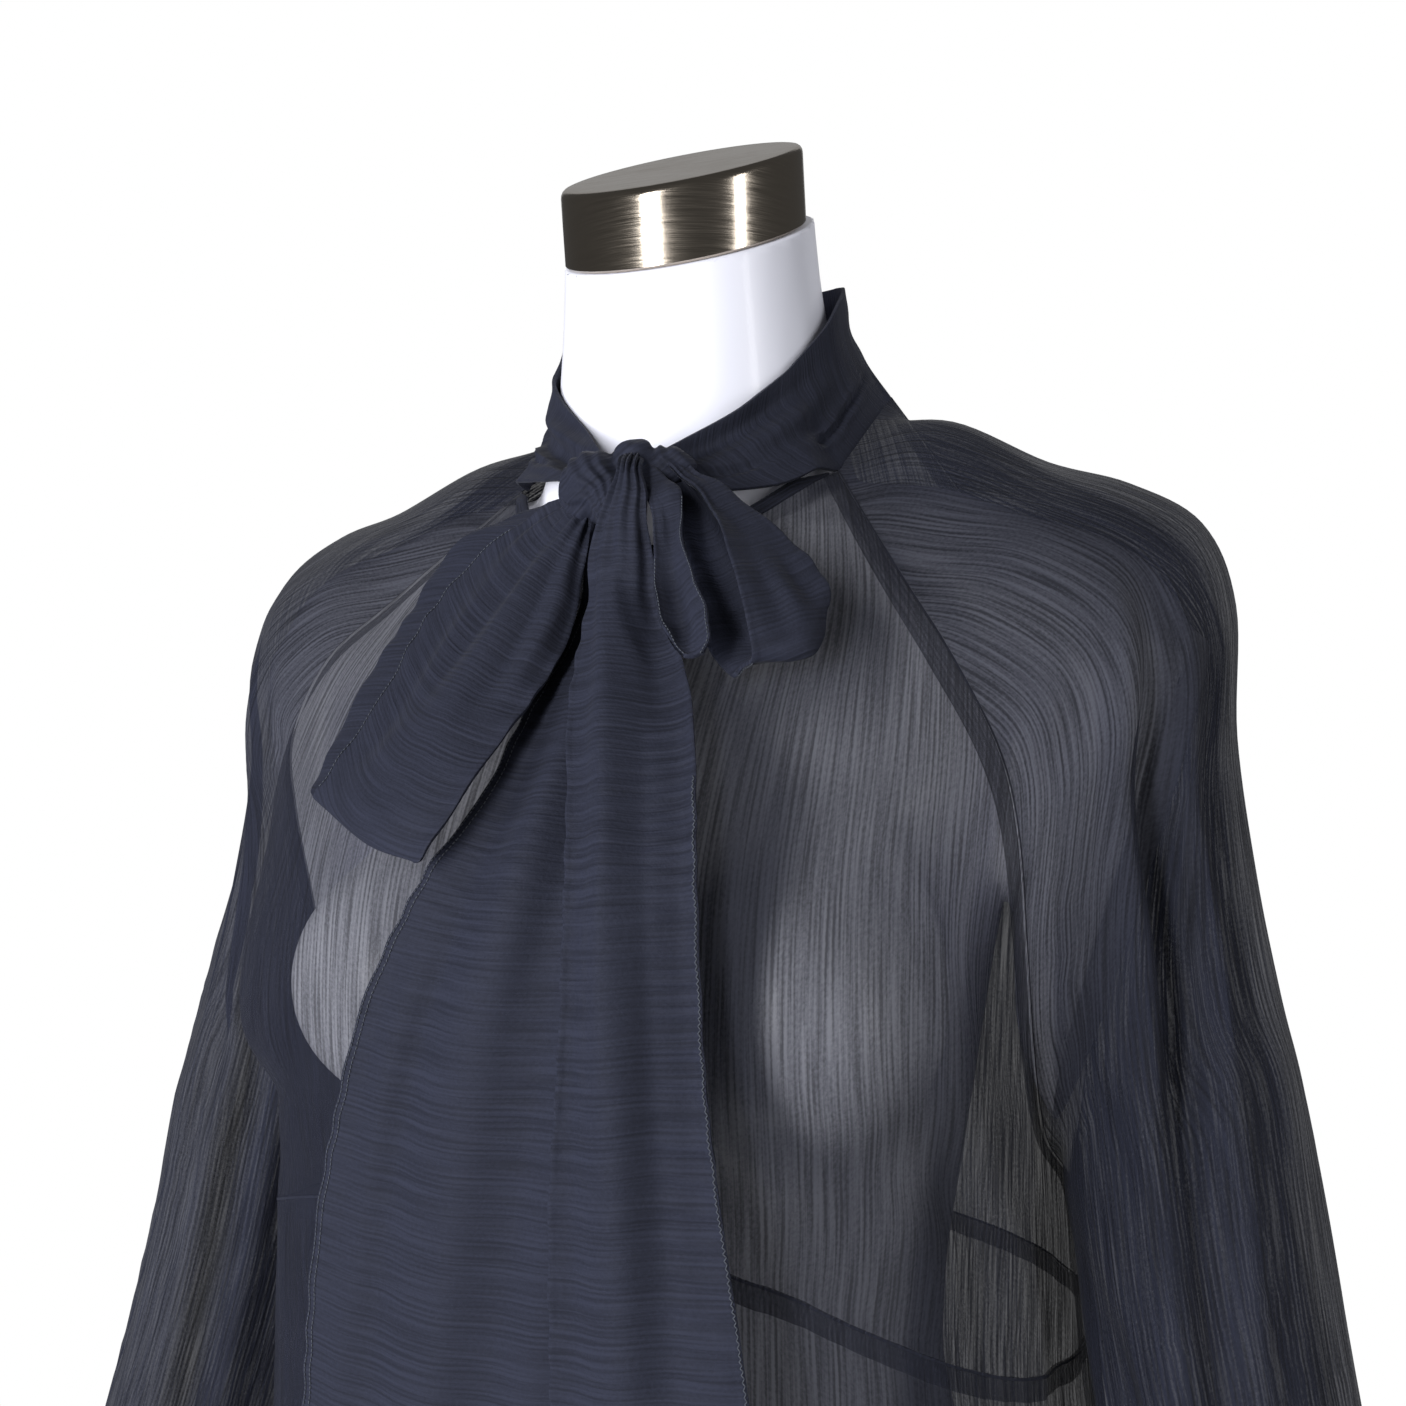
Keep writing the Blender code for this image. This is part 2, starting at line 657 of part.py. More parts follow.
def sleeve_rows(side):
    """All sections of one sleeve, from the neck to the cuff."""
    rows = []
    for s in STATIONS[:-1]:
        rows.append(spline([s.front_seam, s.arm_front, s.arm_outer, s.arm_back, s.back_seam], SLEEVE_QUARTERS))
    rows.append(underarm_row(STATIONS[-1]))
    rows.extend(tube_row(tube) for tube in SLEEVE_TUBE)
    rows = np.array(rows)
    columns = np.arange(rows.shape[1])
    outer = np.sin(math.pi * columns / columns[-1])
    for row, given in zip(rows, SLEEVE_SET):
        out, up = (given.left_out, given.left_up) if side > 0 else (given.right_out, given.right_up)
        row[:, 0] += out * outer
        row[:, 2] += up * outer
    for fold in SLEEVE_FOLDS:
        for row in range(fold.first_row, fold.last_row):
            swell = math.sin(math.pi * (row - fold.first_row + 0.5) / (fold.last_row - fold.first_row))
            trough = fold.depth * swell * np.exp(-((columns - fold.column) / fold.width) ** 2)
            trough[0] = trough[-1] = 0.0
            middle = rows[row].mean(axis=0)
            inwards = middle - rows[row]
            inwards /= np.linalg.norm(inwards, axis=1)[:, None]
            rows[row] += inwards * trough[:, None]
    return rows * (side * MM, MM, MM)


def is_inside(point, skin):
    """True where a line from the point leaves the skin an odd number of times."""
    heading = Vector((0.11, 0.07, 0.99)).normalized()
    crossings = 0
    start = point
    while True:
        hit = skin.ray_cast(start, heading)[0]
        if hit is None:
            return crossings % 2 == 1
        crossings += 1
        start = hit + heading * 1e-6


def lift_off(place, skin, gap):
    """How far a point has to move to lie outside the skin by the gap."""
    spot = skin.find_nearest(place)[0]
    away = place - spot
    if is_inside(place, skin):
        return -away - away.normalized() * gap
    if away.length < gap:
        return away.normalized() * (gap - away.length)
    return Vector((0.0, 0.0, 0.0))


def keep_clear(rows, skin, gap):
    """The rows with every point, and the middle of every cell, outside the form's skin by the gap."""
    made = rows.copy()
    for _ in range(CLEARING_ROUNDS):
        flat = made.reshape(-1, 3)
        for i, point in enumerate(flat):
            flat[i] += lift_off(Vector(point), skin, gap)
        middles = (made[:-1, :-1] + made[1:, :-1] + made[:-1, 1:] + made[1:, 1:]) / 4
        for r in range(middles.shape[0]):
            for c in range(middles.shape[1]):
                made[r:r + 2, c:c + 2] += lift_off(Vector(middles[r, c]), skin, gap)
    return made


class Panel:
    """One cut piece as a surface: points merged from a grid, and faces that look outwards."""

    def __init__(self, name, rows, outwards_flip):
        self.name = name
        keys = {}
        self.points = []
        index = np.zeros(rows.shape[:2], dtype=int)
        for r in range(rows.shape[0]):
            for c in range(rows.shape[1]):
                key = point_key(rows[r, c])
                if key not in keys:
                    keys[key] = len(self.points)
                    self.points.append(rows[r, c])
                index[r, c] = keys[key]
        self.points = np.array(self.points)
        self.faces = []
        for r in range(rows.shape[0] - 1):
            for c in range(rows.shape[1] - 1):
                quad = [index[r, c], index[r + 1, c], index[r + 1, c + 1], index[r, c + 1]]
                if outwards_flip:
                    quad.reverse()
                self.faces.append(tuple(int(i) for i in quad))
        self.normals = np.zeros_like(self.points)
        for face in self.faces:
            a, b, c, d = (self.points[i] for i in face)
            normal = np.cross(c - a, d - b)
            for i in face:
                self.normals[i] += normal
        self.normals /= np.linalg.norm(self.normals, axis=1)[:, None]

    def rim(self):
        """Edges with a face on one side only, each in its face's order."""
        seen = {}
        for face in self.faces:
            for k in range(4):
                edge = (face[k], face[(k + 1) % 4])
                seen[edge] = face
        return [(edge, face) for edge, face in seen.items() if (edge[1], edge[0]) not in seen]


def point_key(point):
    return tuple(round(float(v) * 1e6) for v in point)


def share_normals(panels):
    """Along a seam both pieces use one normal, unless they meet at a sharp fold."""
    meeting = {}
    for panel in panels:
        for point, normal in zip(panel.points, panel.normals):
            meeting.setdefault(point_key(point), []).append(normal.copy())
    for panel in panels:
        for i, point in enumerate(panel.points):
            own = panel.normals[i]
            alike = [n for n in meeting[point_key(point)] if n.dot(own) > SHARED_SEAM_COSINE]
            total = np.sum(alike, axis=0)
            panel.normals[i] = total / np.linalg.norm(total)


def wall(panel, thickness, finish):
    """The panel as a closed wall: the outer points, the same points moved in, and the rims between."""
    rim = panel.rim()
    pull = np.zeros_like(panel.points)
    for (a, b), face in rim:
        middle = panel.points[list(face)].mean(axis=0)
        edge = panel.points[b] - panel.points[a]
        edge /= np.linalg.norm(edge)
        inwards = middle - (panel.points[a] + panel.points[b]) / 2
        inwards -= inwards.dot(edge) * edge
        inwards /= np.linalg.norm(inwards)
        pull[a] += inwards
        pull[b] += inwards
    size = np.linalg.norm(pull, axis=1)
    moved = size > 1e-6
    pull[moved] /= size[moved][:, None]
    outer = panel.points + pull * (SEAM_GAP * SEAM_PULL)
    inner = outer - panel.normals * thickness
    count = len(outer)
    faces = list(panel.faces)
    faces += [tuple(count + i for i in reversed(face)) for face in panel.faces]
    faces += [(b, a, count + a, count + b) for (a, b), _ in rim]
    return add_object(panel.name, np.vstack([outer, inner]), faces, finish)


def binding_rows(front):
    """The narrow bound edge above the front neckline, lower towards the two raglan seams."""
    edge, below = front[0, 1:-1], front[1, 1:-1]
    rise = edge - below
    rise /= np.linalg.norm(rise, axis=1)[:, None]
    steps = np.linalg.norm(np.diff(edge, axis=0), axis=1)
    run = np.concatenate([[0.0], np.cumsum(steps)])
    from_end = np.minimum(run, run[-1] - run)
    height = BINDING_HEIGHT * np.clip(from_end / BINDING_TAPER, BINDING_END, 1.0)
    return np.array([edge + rise * height[:, None] * share for share in (1.0, 0.5, 0.0)])


def neck_seam(front, back, sleeves):
    """Every other point of the seam that carries the collar, from the left raglan seam round to the right."""
    left = sleeves["left"][0]
    right = sleeves["right"][0][::-1]
    middle = back[0][::-1]
    return np.vstack([left[:-1:2], middle[:-1:2], right[::2]])


def collar_rows(seam):
    """The tie collar from its top edge to its bottom edge, one column for each station round the neck."""
    free_left = np.array(COLLAR_LEFT_FREE, dtype=float) * MM
    free_right = np.array(COLLAR_RIGHT_FREE, dtype=float) * MM
    top_guides = np.vstack([free_left[-1:, 1], np.array(COLLAR_TOP_SEWN, dtype=float) * MM, free_right[:1, 1]])
    line = spline(top_guides, [12] * (len(top_guides) - 1))
    fine = resample(line, len(seam) + 1)
    lower = np.vstack([spline(free_left[:, 0], [2] * 4), seam, spline(free_right[:, 0], [2] * 3)])
    upper = np.vstack([spline(free_left[:, 1], [2] * 4), fine[1:-1], spline(free_right[:, 1], [2] * 3)])
    rows = []
    for share in COLLAR_HEIGHTS:
        inwards = 1.0 - (1.0 - share) ** COLLAR_FLARE
        rows.append(lower + (upper - lower) * (inwards, inwards, share))
    return np.array(rows)


def applied(piece):
    """The piece's modifiers made real, with slivers, doubled corners and loose crumbs taken out."""
    bpy.context.view_layer.update()
    graph = bpy.context.evaluated_depsgraph_get()
    mesh = bpy.data.meshes.new_from_object(piece.evaluated_get(graph))
    shape = bmesh.new()
    shape.from_mesh(mesh)
    bmesh.ops.remove_doubles(shape, verts=shape.verts, dist=SLIVER)
    bmesh.ops.dissolve_degenerate(shape, edges=shape.edges, dist=SLIVER)
    bmesh.ops.triangulate(shape, faces=shape.faces)
    islands = []
    left = set(shape.verts)
    while left:
        stack = [left.pop()]
        island = set(stack)
        while stack:
            for edge in stack.pop().link_edges:
                for corner in edge.verts:
                    if corner in left:
                        left.remove(corner)
                        island.add(corner)
                        stack.append(corner)
        islands.append(island)
    largest = max(islands, key=len)
    bmesh.ops.delete(shape, geom=[v for v in shape.verts if v not in largest], context="VERTS")
    shape.to_mesh(mesh)
    shape.free()
    piece.modifiers.clear()
    piece.data = mesh


def ribbon_rows(guides, across, between):
    """A ribbon's grid: a soft line across each section, then soft lines along between the sections."""
    sections = np.array([spline(row, (across, across)) for row in guides]) * MM
    columns = [spline(sections[:, c], [between] * (len(guides) - 1)) for c in range(sections.shape[1])]
    return np.array(columns).transpose(1, 0, 2)


def make_knot(finish):
    spheres = bmesh.new()
    for (x, y, z), half in KNOT_LUMPS:
        place = Matrix.Translation(Vector((x, y, z)) * MM) @ Matrix.Diagonal((*(h * MM for h in half), 1.0))
        bmesh.ops.create_icosphere(spheres, subdivisions=3, radius=1.0, matrix=place)
    mesh = bpy.data.meshes.new("bow_knot")
    spheres.to_mesh(mesh)
    spheres.free()
    mesh.materials.append(finish)
    knot = bpy.data.objects.new("bow_knot", mesh)
    bpy.context.collection.objects.link(knot)
    skin = knot.modifiers.new("Skin", "REMESH")
    skin.mode = "VOXEL"
    skin.voxel_size = KNOT_VOXEL
    skin.use_smooth_shade = True
    soft = knot.modifiers.new("Soften", "SMOOTH")
    soft.factor = 0.5
    soft.iterations = 3
    thin = knot.modifiers.new("Thin out", "DECIMATE")
    thin.ratio = KNOT_TRIANGLE_SHARE
    return knot


def knot_cutter(knot):
    """The knot's own skin moved out by a gap, which cuts the roots of the ribbons to seat on it."""
    bpy.context.view_layer.update()
    graph = bpy.context.evaluated_depsgraph_get()
    mesh = bpy.data.meshes.new_from_object(knot.evaluated_get(graph))
    mesh.name = "cut_knot"
    shape = bmesh.new()
    shape.from_mesh(mesh)
    shape.normal_update()
    moves = [(v, v.co + v.normal * KNOT_GAP) for v in shape.verts]
    for corner, place in moves:
        corner.co = place
    shape.to_mesh(mesh)
    shape.free()
    made = bpy.data.objects.new("cut_knot", mesh)
    bpy.context.collection.objects.link(made)
    made.hide_render = True
    made.display_type = "WIRE"
    return made


def seat_on_knot(piece, knot_shape):
    cut = piece.modifiers.new("Seat on knot", "BOOLEAN")
    cut.operation = "DIFFERENCE"
    cut.solver = "EXACT"
    cut.object = knot_shape


def make_bow(finish, skin, seam):
    knot = make_knot(finish)
    knot_shape = knot_cutter(knot)
    collar = keep_clear(collar_rows(seam), skin, TIE_CLOTH + FORM_GAP)
    pieces = [wall(Panel("tie_collar", collar, False), TIE_CLOTH, finish)]
    ribbons = [
        ("bow_loop_right", LOOP_RIGHT, 4, 2),
        ("bow_loop_left", LOOP_LEFT, 3, 2),
        ("bow_lobe", LOBE, 3, 2),
        ("tail_rear", REAR_TAIL, 4, 1),
        ("tail_front", FRONT_TAIL, 4, 1),
    ]
    for name, guides, across, between in ribbons:
        pieces.append(wall(Panel(name, ribbon_rows(guides, across, between), False), TIE_CLOTH, finish))
    for piece in pieces:
        seat_on_knot(piece, knot_shape)
        applied(piece)


def main():
    clear_scene()
    gloss_white = material("gloss_white", (0.86, 0.86, 0.87), 0.18)
    nickel = material("brushed_nickel", (0.42, 0.37, 0.31), 0.28, 1.0)
    steel = material("stand_steel", (0.72, 0.72, 0.73), 0.25, 1.0)
    chiffon = material("navy_chiffon", (0.030, 0.038, 0.062), 0.85)
    double_chiffon = material("navy_chiffon_double", (0.030, 0.038, 0.062), 0.85)

    form = make_form(gloss_white)
    make_cap(nickel)
    make_stand(steel)
    skin = surface_of(form)

    gap = CLOTH + FORM_GAP
    front, seam = body_rows(True)
    back, _ = body_rows(False)
    front = keep_clear(front, skin, gap)
    back = keep_clear(back, skin, gap)
    sleeves = {}
    panels = [
        Panel("front_upper", front[:seam + 1], False),
        Panel("front_lower", front[seam:], False),
        Panel("back_upper", back[:seam + 1], True),
        Panel("back_lower", back[seam:], True),
        Panel("neck_binding", binding_rows(front), False),
    ]
    for side, name in ((1, "left"), (-1, "right")):
        rows = keep_clear(sleeve_rows(side), skin, gap)
        rows[:len(STATIONS), 0] = front[:len(STATIONS), -1 if side > 0 else 0]
        rows[:len(STATIONS), -1] = back[:len(STATIONS), -1 if side > 0 else 0]
        sleeves[name] = rows
        panels.append(Panel("sleeve_" + name, rows, side < 0))
        cuff = np.array([tube_row(tube) for tube in CUFF]) * (side * MM, MM, MM)
        panels.append(Panel("cuff_" + name, cuff, side < 0))
    share_normals(panels)
    for panel in panels:
        wall(panel, CLOTH, chiffon)
    make_bow(double_chiffon, skin, neck_seam(front, back, sleeves))


main()
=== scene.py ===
"""Looks of a sheer tie-neck blouse on a limbless dress form: cloth, stitching, form, stand and studio."""

import math
from collections import namedtuple
from functools import lru_cache

import bmesh
import bpy
import numpy as np
from bpy.props import FloatProperty, FloatVectorProperty, PointerProperty
from mathutils import Matrix, Vector, noise
from mathutils.bvhtree import BVHTree


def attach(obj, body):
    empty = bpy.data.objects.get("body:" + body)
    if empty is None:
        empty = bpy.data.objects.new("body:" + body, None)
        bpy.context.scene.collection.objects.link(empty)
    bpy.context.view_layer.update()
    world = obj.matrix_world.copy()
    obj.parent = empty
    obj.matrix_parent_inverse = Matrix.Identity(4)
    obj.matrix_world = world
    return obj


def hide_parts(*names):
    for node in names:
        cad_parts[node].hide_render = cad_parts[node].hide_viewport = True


bl_info = {
    "name": "Tie-neck blouse",
    "version": (1, 0, 0),
    "blender": (4, 5, 0),
    "location": "3D View > Sidebar > Blouse",
    "description": "Builds a sheer tie-neck blouse on a dress form around its packed solids",
    "category": "Object",
}

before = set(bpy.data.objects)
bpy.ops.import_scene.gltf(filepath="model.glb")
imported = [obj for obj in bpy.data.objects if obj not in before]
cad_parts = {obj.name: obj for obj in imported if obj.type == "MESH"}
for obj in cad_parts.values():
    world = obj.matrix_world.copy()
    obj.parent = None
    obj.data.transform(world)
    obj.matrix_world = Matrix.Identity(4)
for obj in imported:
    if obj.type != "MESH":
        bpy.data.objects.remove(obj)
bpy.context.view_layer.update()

MM = 0.001

# Neck cap, an oblique drum whose two ends tilt forward
CAP_RADIUS = 0.0500
CAP_TILT = math.radians(26.0)
CAP_BOTTOM = Vector((0.0, -0.010, 1.5695))
CAP_TOP = Vector((0.0, -0.0145, 1.6000))

# Form skin
BUST_CENTRE = Vector((0.083, -0.084, 1.275))
BUST_RADIUS = 0.059
ARM_CUT_OUTER = Vector((0.202, 0.0, 1.400))
ARM_CUT_TIP = Vector((0.150, 0.0, 1.226))
TORSO_SIDES = 32
LIMB_SIDES = 24
TORSO_SQUARE = 2.2
LIMB_SQUARE = 2.1
ARM_BACKWARDS = 4

# Cloth
CLOTH = 0.0012
TIE_CLOTH = 0.0018
FORM_GAP = 0.0014
CLEARING_ROUNDS = 4
BODY_COLUMNS = 32
SLEEVE_QUARTERS = (5, 6, 6, 5)
GATHERS_PER_PANEL = 8
GATHER_DEPTH_AT_HEM = 0.0050
GATHER_START = 0.25
SECTION_SAG = 2.4

# Torso sections: height, half width, front, back
TORSO = [
    (740, 140, 90, 90),
    (790, 156, 96, 104),
    (830, 164, 99, 113),
    (880, 169, 101, 122),
    (930, 168, 101, 124),
    (980, 155, 98, 113),
    (1030, 132, 93, 94),
    (1080, 112, 89, 78),
    (1125, 103, 88, 70),
    (1165, 105, 90, 71),
    (1210, 112, 95, 79),
    (1250, 118, 96, 87),
    (1290, 124, 92, 94),
    (1330, 132, 85, 98),
    (1370, 142, 76, 99),
    (1405, 148, 66, 96),
    (1430, 138, 58, 88),
    (1452, 108, 52, 76),
]

# Shoulder sections, from the middle outwards: distance from the middle, top, bottom, front, back
SHOULDER = [
    (0, 1466, 1400, 48, 74),
    (50, 1469, 1396, 43, 72),
    (80, 1469, 1390, 38, 66),
    (107, 1466, 1380, 38, 60),
    (140, 1453, 1370, 40, 56),
    (168, 1445, 1362, 41, 52),
    (184, 1434, 1358, 37, 45),
    (195, 1417, 1362, 28, 34),
    (200, 1400, 1378, 14, 20),
]

# Neck sections: height, radius, middle of the ring
NECK = [
    (1440, 74, 6),
    (1470, 66, 6),
    (1495, 60, 5),
    (1525, 56.5, 2),
    (1555, 53.0, -3),
    (1600, 50.5, -9),
    (1630, 50.0, -13),
]

# Upper arm sections: height, middle of the ring across, half width, half depth
UPPER_ARM = [
    (1405, 172, 36, 44),
    (1370, 172, 37, 45),
    (1330, 171, 37, 44),
    (1290, 170, 36, 42),
    (1262, 169, 35, 39),
    (1240, 170, 30, 32),
    (1222, 172, 22, 22),
    (1212, 174, 12, 12),
]

Station = namedtuple(
    "Station", "front_seam front_middle back_seam back_middle arm_front arm_outer arm_back square"
)

# Blouse sections from the neck to the underarm. A middle is (depth, height) on the centre line.
STATIONS = [
    Station((70, -20, 1472), (-76, 1434), (75, 30, 1508), (62, 1512),
            (71.5, -8, 1481), (73.5, 6, 1492), (74.5, 19, 1501), 2.1),
    Station((90, -40, 1448), (-91, 1411), (92, 50, 1480), (78, 1478),
            (100, -19, 1477), (107, 6, 1492), (102, 32, 1489), 2.2),
    Station((110, -58, 1424), (-106, 1391), (110, 68, 1450), (94, 1445),
            (131, -33, 1456), (145, 6, 1471), (133, 44, 1463), 2.3),
    Station((130, -75, 1400), (-125, 1366), (128, 82, 1418), (106, 1412),
            (158, -44, 1439), (175, 6, 1460), (160, 55, 1441), 2.4),
    Station((147, -76, 1368), (-141, 1339), (142, 88, 1380), (112, 1376),
            (181, -51, 1415), (200, 5, 1445), (181, 60, 1414), 2.6),
    Station((152, -68, 1339), (-151, 1313), (148, 84, 1340), (113, 1340),
            (192, -55, 1382), (216, 2, 1418), (192, 60, 1380), 2.8),
    Station((152, -56, 1298), (-155, 1286), (151, 70, 1298), (110, 1300),
            (189, -57, 1334), (219, -2, 1370), (189, 57, 1334), 2.9),
    Station((152, -46, 1260), (-155, 1264), (152, 52, 1260), (106, 1264),
            (190, -58, 1291), (226, -4, 1320), (190, 52, 1291), 2.9),
    Station((152, -28, 1228), (-153, 1245), (153, 30, 1228), (104, 1234),
            (194, -58, 1255), (233, -6, 1280), (194, 48, 1255), 2.8),
    Station((155, 0, 1208), (-151, 1231), (155, 0, 1208), (102, 1212),
            (197, -58, 1228), (240, -8, 1248), (197, 44, 1228), 2.7),
]

Ring = namedtuple("Ring", "side side_height front_depth front_height back_depth square")

# Under the arms the body is a tube: two sections down to the under-bust seam, then the skirt of the blouse
UPPER_TUBE = [
    Ring(158, 1184, -149, 1221, 101, 2.6),
    Ring(161, 1160, -147, 1212, 100, 2.6),
]
LOWER_TUBE = [
    Ring(163, 1134, -145, 1180, 100, 2.6),
    Ring(167, 1094, -143, 1130, 102, 2.5),
    Ring(171, 1051, -141, 1076, 110, 2.5),
    Ring(178, 1002, -140, 1018, 124, 2.4),
    Ring(186, 952, -140, 962, 137, 2.4),
    Ring(192, 904, -142, 910, 143, 2.4),
    Ring(195, 862, -144, 865, 146, 2.4),
]

Tube = namedtuple("Tube", "inner inner_height outer outer_height middle half_depth")

# Sleeve sections under the underarm point, gathered into the cuff's top edge
SLEEVE_TUBE = [
    Tube(162, 1180, 248, 1208, -13, 51),
    Tube(169, 1142, 257, 1160, -17, 52),
    Tube(179, 1092, 268, 1102, -23, 54),
    Tube(190, 1042, 279, 1046, -29, 57),
    Tube(200, 992, 289, 992, -34, 60),
    Tube(208, 946, 297, 944, -39, 61),
    Tube(214, 914, 298, 912, -42, 57),
    Tube(219, 896, 295, 896, -44, 48),
    Tube(225, 884, 289, 884, -45, 33),
]
CUFF = [
    Tube(225, 884, 289, 884, -45, 33),
    Tube(226, 861, 289, 861, -45.5, 33),
    Tube(227, 838, 290, 838, -46, 33),
]

Fold = namedtuple("Fold", "column width depth first_row last_row")

# Long soft troughs down the sleeves, in columns counted from the front seam and rows from the neck
SLEEVE_FOLDS = [
    Fold(7.5, 1.3, 7.0, 6, 17),
    Fold(3.0, 1.1, 5.0, 10, 18),
    Fold(14.5, 1.4, 6.0, 8, 18),
    Fold(19.0, 1.2, 4.5, 10, 17),
]

Set = namedtuple("Set", "left_out left_up right_out right_up")

# How far each sleeve section is set out and up from its table values, by row from the neck
SLEEVE_SET = [Set(*row) for row in (
    (0, 0, 0, 0), (0, 0, 0, -5), (0, 3, 0, -2), (1, 4, -1, 0), (2, 3, -2, 0),
    (-2, 0, -6, 0), (-4, 0, -8, 0), (-4, 0, -2, 0), (-3, 0, 4, 0), (-3, 0, 6, 0),
    (-3, 0, 5, 0), (-4, 0, 3, 0), (-4, 0, 3, 0), (-4, 0, 4, 0), (-4, 0, 4, 0),
    (-4, 0, 4, 0), (-4, 0, 4, 0), (-3, 0, 2, 0), (0, 0, 0, 0),
)]

# The under-bust seam hangs lower on the left side than on the right, most of all at the seam itself
SEAM_TILT = 0.014
SEAM_TILT_BY_ROW = {-3: 0.15, -2: 0.4, -1: 0.75, 0: 1.0, 1: 0.8, 2: 0.5, 3: 0.25}

# Bound edge of the front neckline
BINDING_HEIGHT = 0.007
BINDING_TAPER = 0.020
BINDING_END = 0.12

# Tie collar, from the knot round the wearer's left, the back and the right to the knot again: lower, upper.
# The stretches sewn to the neck have no lower point here, because they follow the neck seam.
COLLAR_LEFT_FREE = [
    ((10, -79, 1462), (10, -74, 1473)),
    ((28, -74, 1460), (19, -68, 1477)),
    ((45, -64, 1461), (29, -61, 1483)),
    ((59, -51, 1464), (42, -50, 1493)),
    ((68, -36, 1471), (53, -30, 1510)),
]
COLLAR_TOP_SEWN = [
    (60, -8, 1530),
    (60, 8, 1543),
    (55, 29, 1555),
    (42, 46, 1559),
    (22, 57, 1560),
    (0, 60, 1560),
    (-22, 57, 1560),
    (-42, 46, 1559),
    (-55, 29, 1555),
    (-61, 10, 1544),
    (-60, -6, 1531),
]
COLLAR_RIGHT_FREE = [
    ((-65, -36, 1473), (-47, -28, 1512)),
    ((-50, -51, 1471), (-32, -47, 1497)),
    ((-30, -66, 1468), (-16, -62, 1484)),
    ((-4, -78, 1463), (-3, -73, 1474)),
]
COLLAR_FLARE = 1.7
COLLAR_HEIGHTS = (1.0, 0.66, 0.33, 0.0)

# Knot: the middle and half sizes of its lumps
KNOT_LUMPS = [
    ((-3, -84, 1461), (13, 10, 14)),
    ((12, -79, 1471), (9, 8, 8)),
    ((22, -77, 1468), (13, 8, 8)),
    ((7, -88, 1455), (9, 7, 9)),
]

# Ribbons of the bow, root first. Each row runs across the ribbon: left or upper edge, middle, right or lower
# edge.
LOOP_RIGHT = [
    ((-6, -82, 1463), (-4, -84, 1459), (-2, -85, 1455)),
    ((-37, -84, 1448), (-12, -99, 1436), (0, -98, 1426)),
    ((-56, -89, 1432), (-17, -113, 1415), (1, -110, 1404)),
    ((-67, -102, 1410), (-30, -127, 1393), (-2, -129, 1384)),
    ((-71, -119, 1385), (-33, -143, 1372), (-9, -145, 1365)),
    ((-82, -136, 1358), (-44, -157, 1345), (-17, -158, 1345)),
    ((-89, -137, 1348), (-53, -155, 1334), (-27, -162, 1329)),
    ((-91, -131, 1354), (-56, -147, 1342), (-28, -156, 1335)),
    ((-88, -107, 1388), (-46, -124, 1381), (-17, -133, 1374)),
    ((-80, -86, 1418), (-38, -104, 1411), (-9, -113, 1402)),
    ((-64, -74, 1446), (-33, -86, 1440), (-9, -95, 1428)),
    ((-8, -78, 1461), (-7, -80, 1458), (-6, -81, 1454)),
]
LOOP_LEFT = [
    ((25, -83, 1469), (27, -81, 1470), (29, -79, 1470)),
    ((45, -90, 1455), (46, -83, 1459), (48, -79, 1459)),
    ((57, -101, 1438), (62, -92, 1443), (66, -83, 1446)),
    ((68, -113, 1420), (78, -103, 1424), (81, -87, 1434)),
    ((75, -120, 1403), (90, -111, 1406), (90, -92, 1425)),
    ((75, -119, 1396), (93, -108, 1398), (93, -93, 1416)),
    ((70, -115, 1393), (82, -104, 1401), (86, -90, 1417)),
    ((65, -113, 1391), (71, -99, 1409), (74, -85, 1429)),
    ((53, -107, 1403), (58, -90, 1427), (61, -80, 1443)),
    ((42, -94, 1427), (44, -82, 1446), (47, -76, 1453)),
    ((25, -79, 1463), (27, -78, 1464), (29, -76, 1465)),
]
LOBE = [
    ((10, -86, 1466), (15, -86, 1467), (21, -84, 1468)),
    ((24, -93, 1455), (30, -96, 1456), (36, -91, 1457)),
    ((32, -104, 1441), (37, -106, 1439), (43, -104, 1440)),
    ((36, -113, 1426), (43, -111, 1424), (53, -115, 1424)),
    ((40, -119, 1415), (48, -117, 1412), (60, -121, 1413)),
    ((46, -123, 1405), (52, -121, 1403), (62, -124, 1404)),
    ((52, -124, 1399), (56, -124, 1398), (60, -124, 1399)),
]
REAR_TAIL = [
    ((-3, -86, 1452), (3, -87, 1451), (10, -86, 1452)),
    ((-4, -89, 1428), (8, -91, 1427), (24, -88, 1427)),
    ((-4, -98, 1408), (16, -101, 1406), (34, -98, 1407)),
    ((-10, -120, 1380), (18, -125, 1377), (46, -121, 1377)),
    ((-17, -139, 1349), (18, -144, 1345), (54, -140, 1345)),
    ((-32, -151, 1323), (14, -156, 1319), (56, -151, 1319)),
    ((-50, -158, 1284), (4, -161, 1286), (52, -158, 1287)),
    ((-62, -158, 1246), (-5, -161, 1248), (47, -159, 1250)),
    ((-74, -156, 1196), (-14, -159, 1198), (42, -157, 1200)),
    ((-81, -153, 1136), (-21, -156, 1138), (37, -154, 1140)),
    ((-84, -151, 1076), (-26, -154, 1077), (32, -152, 1078)),
    ((-85, -150, 1010), (-29, -153, 1010), (29, -151, 1010)),
]
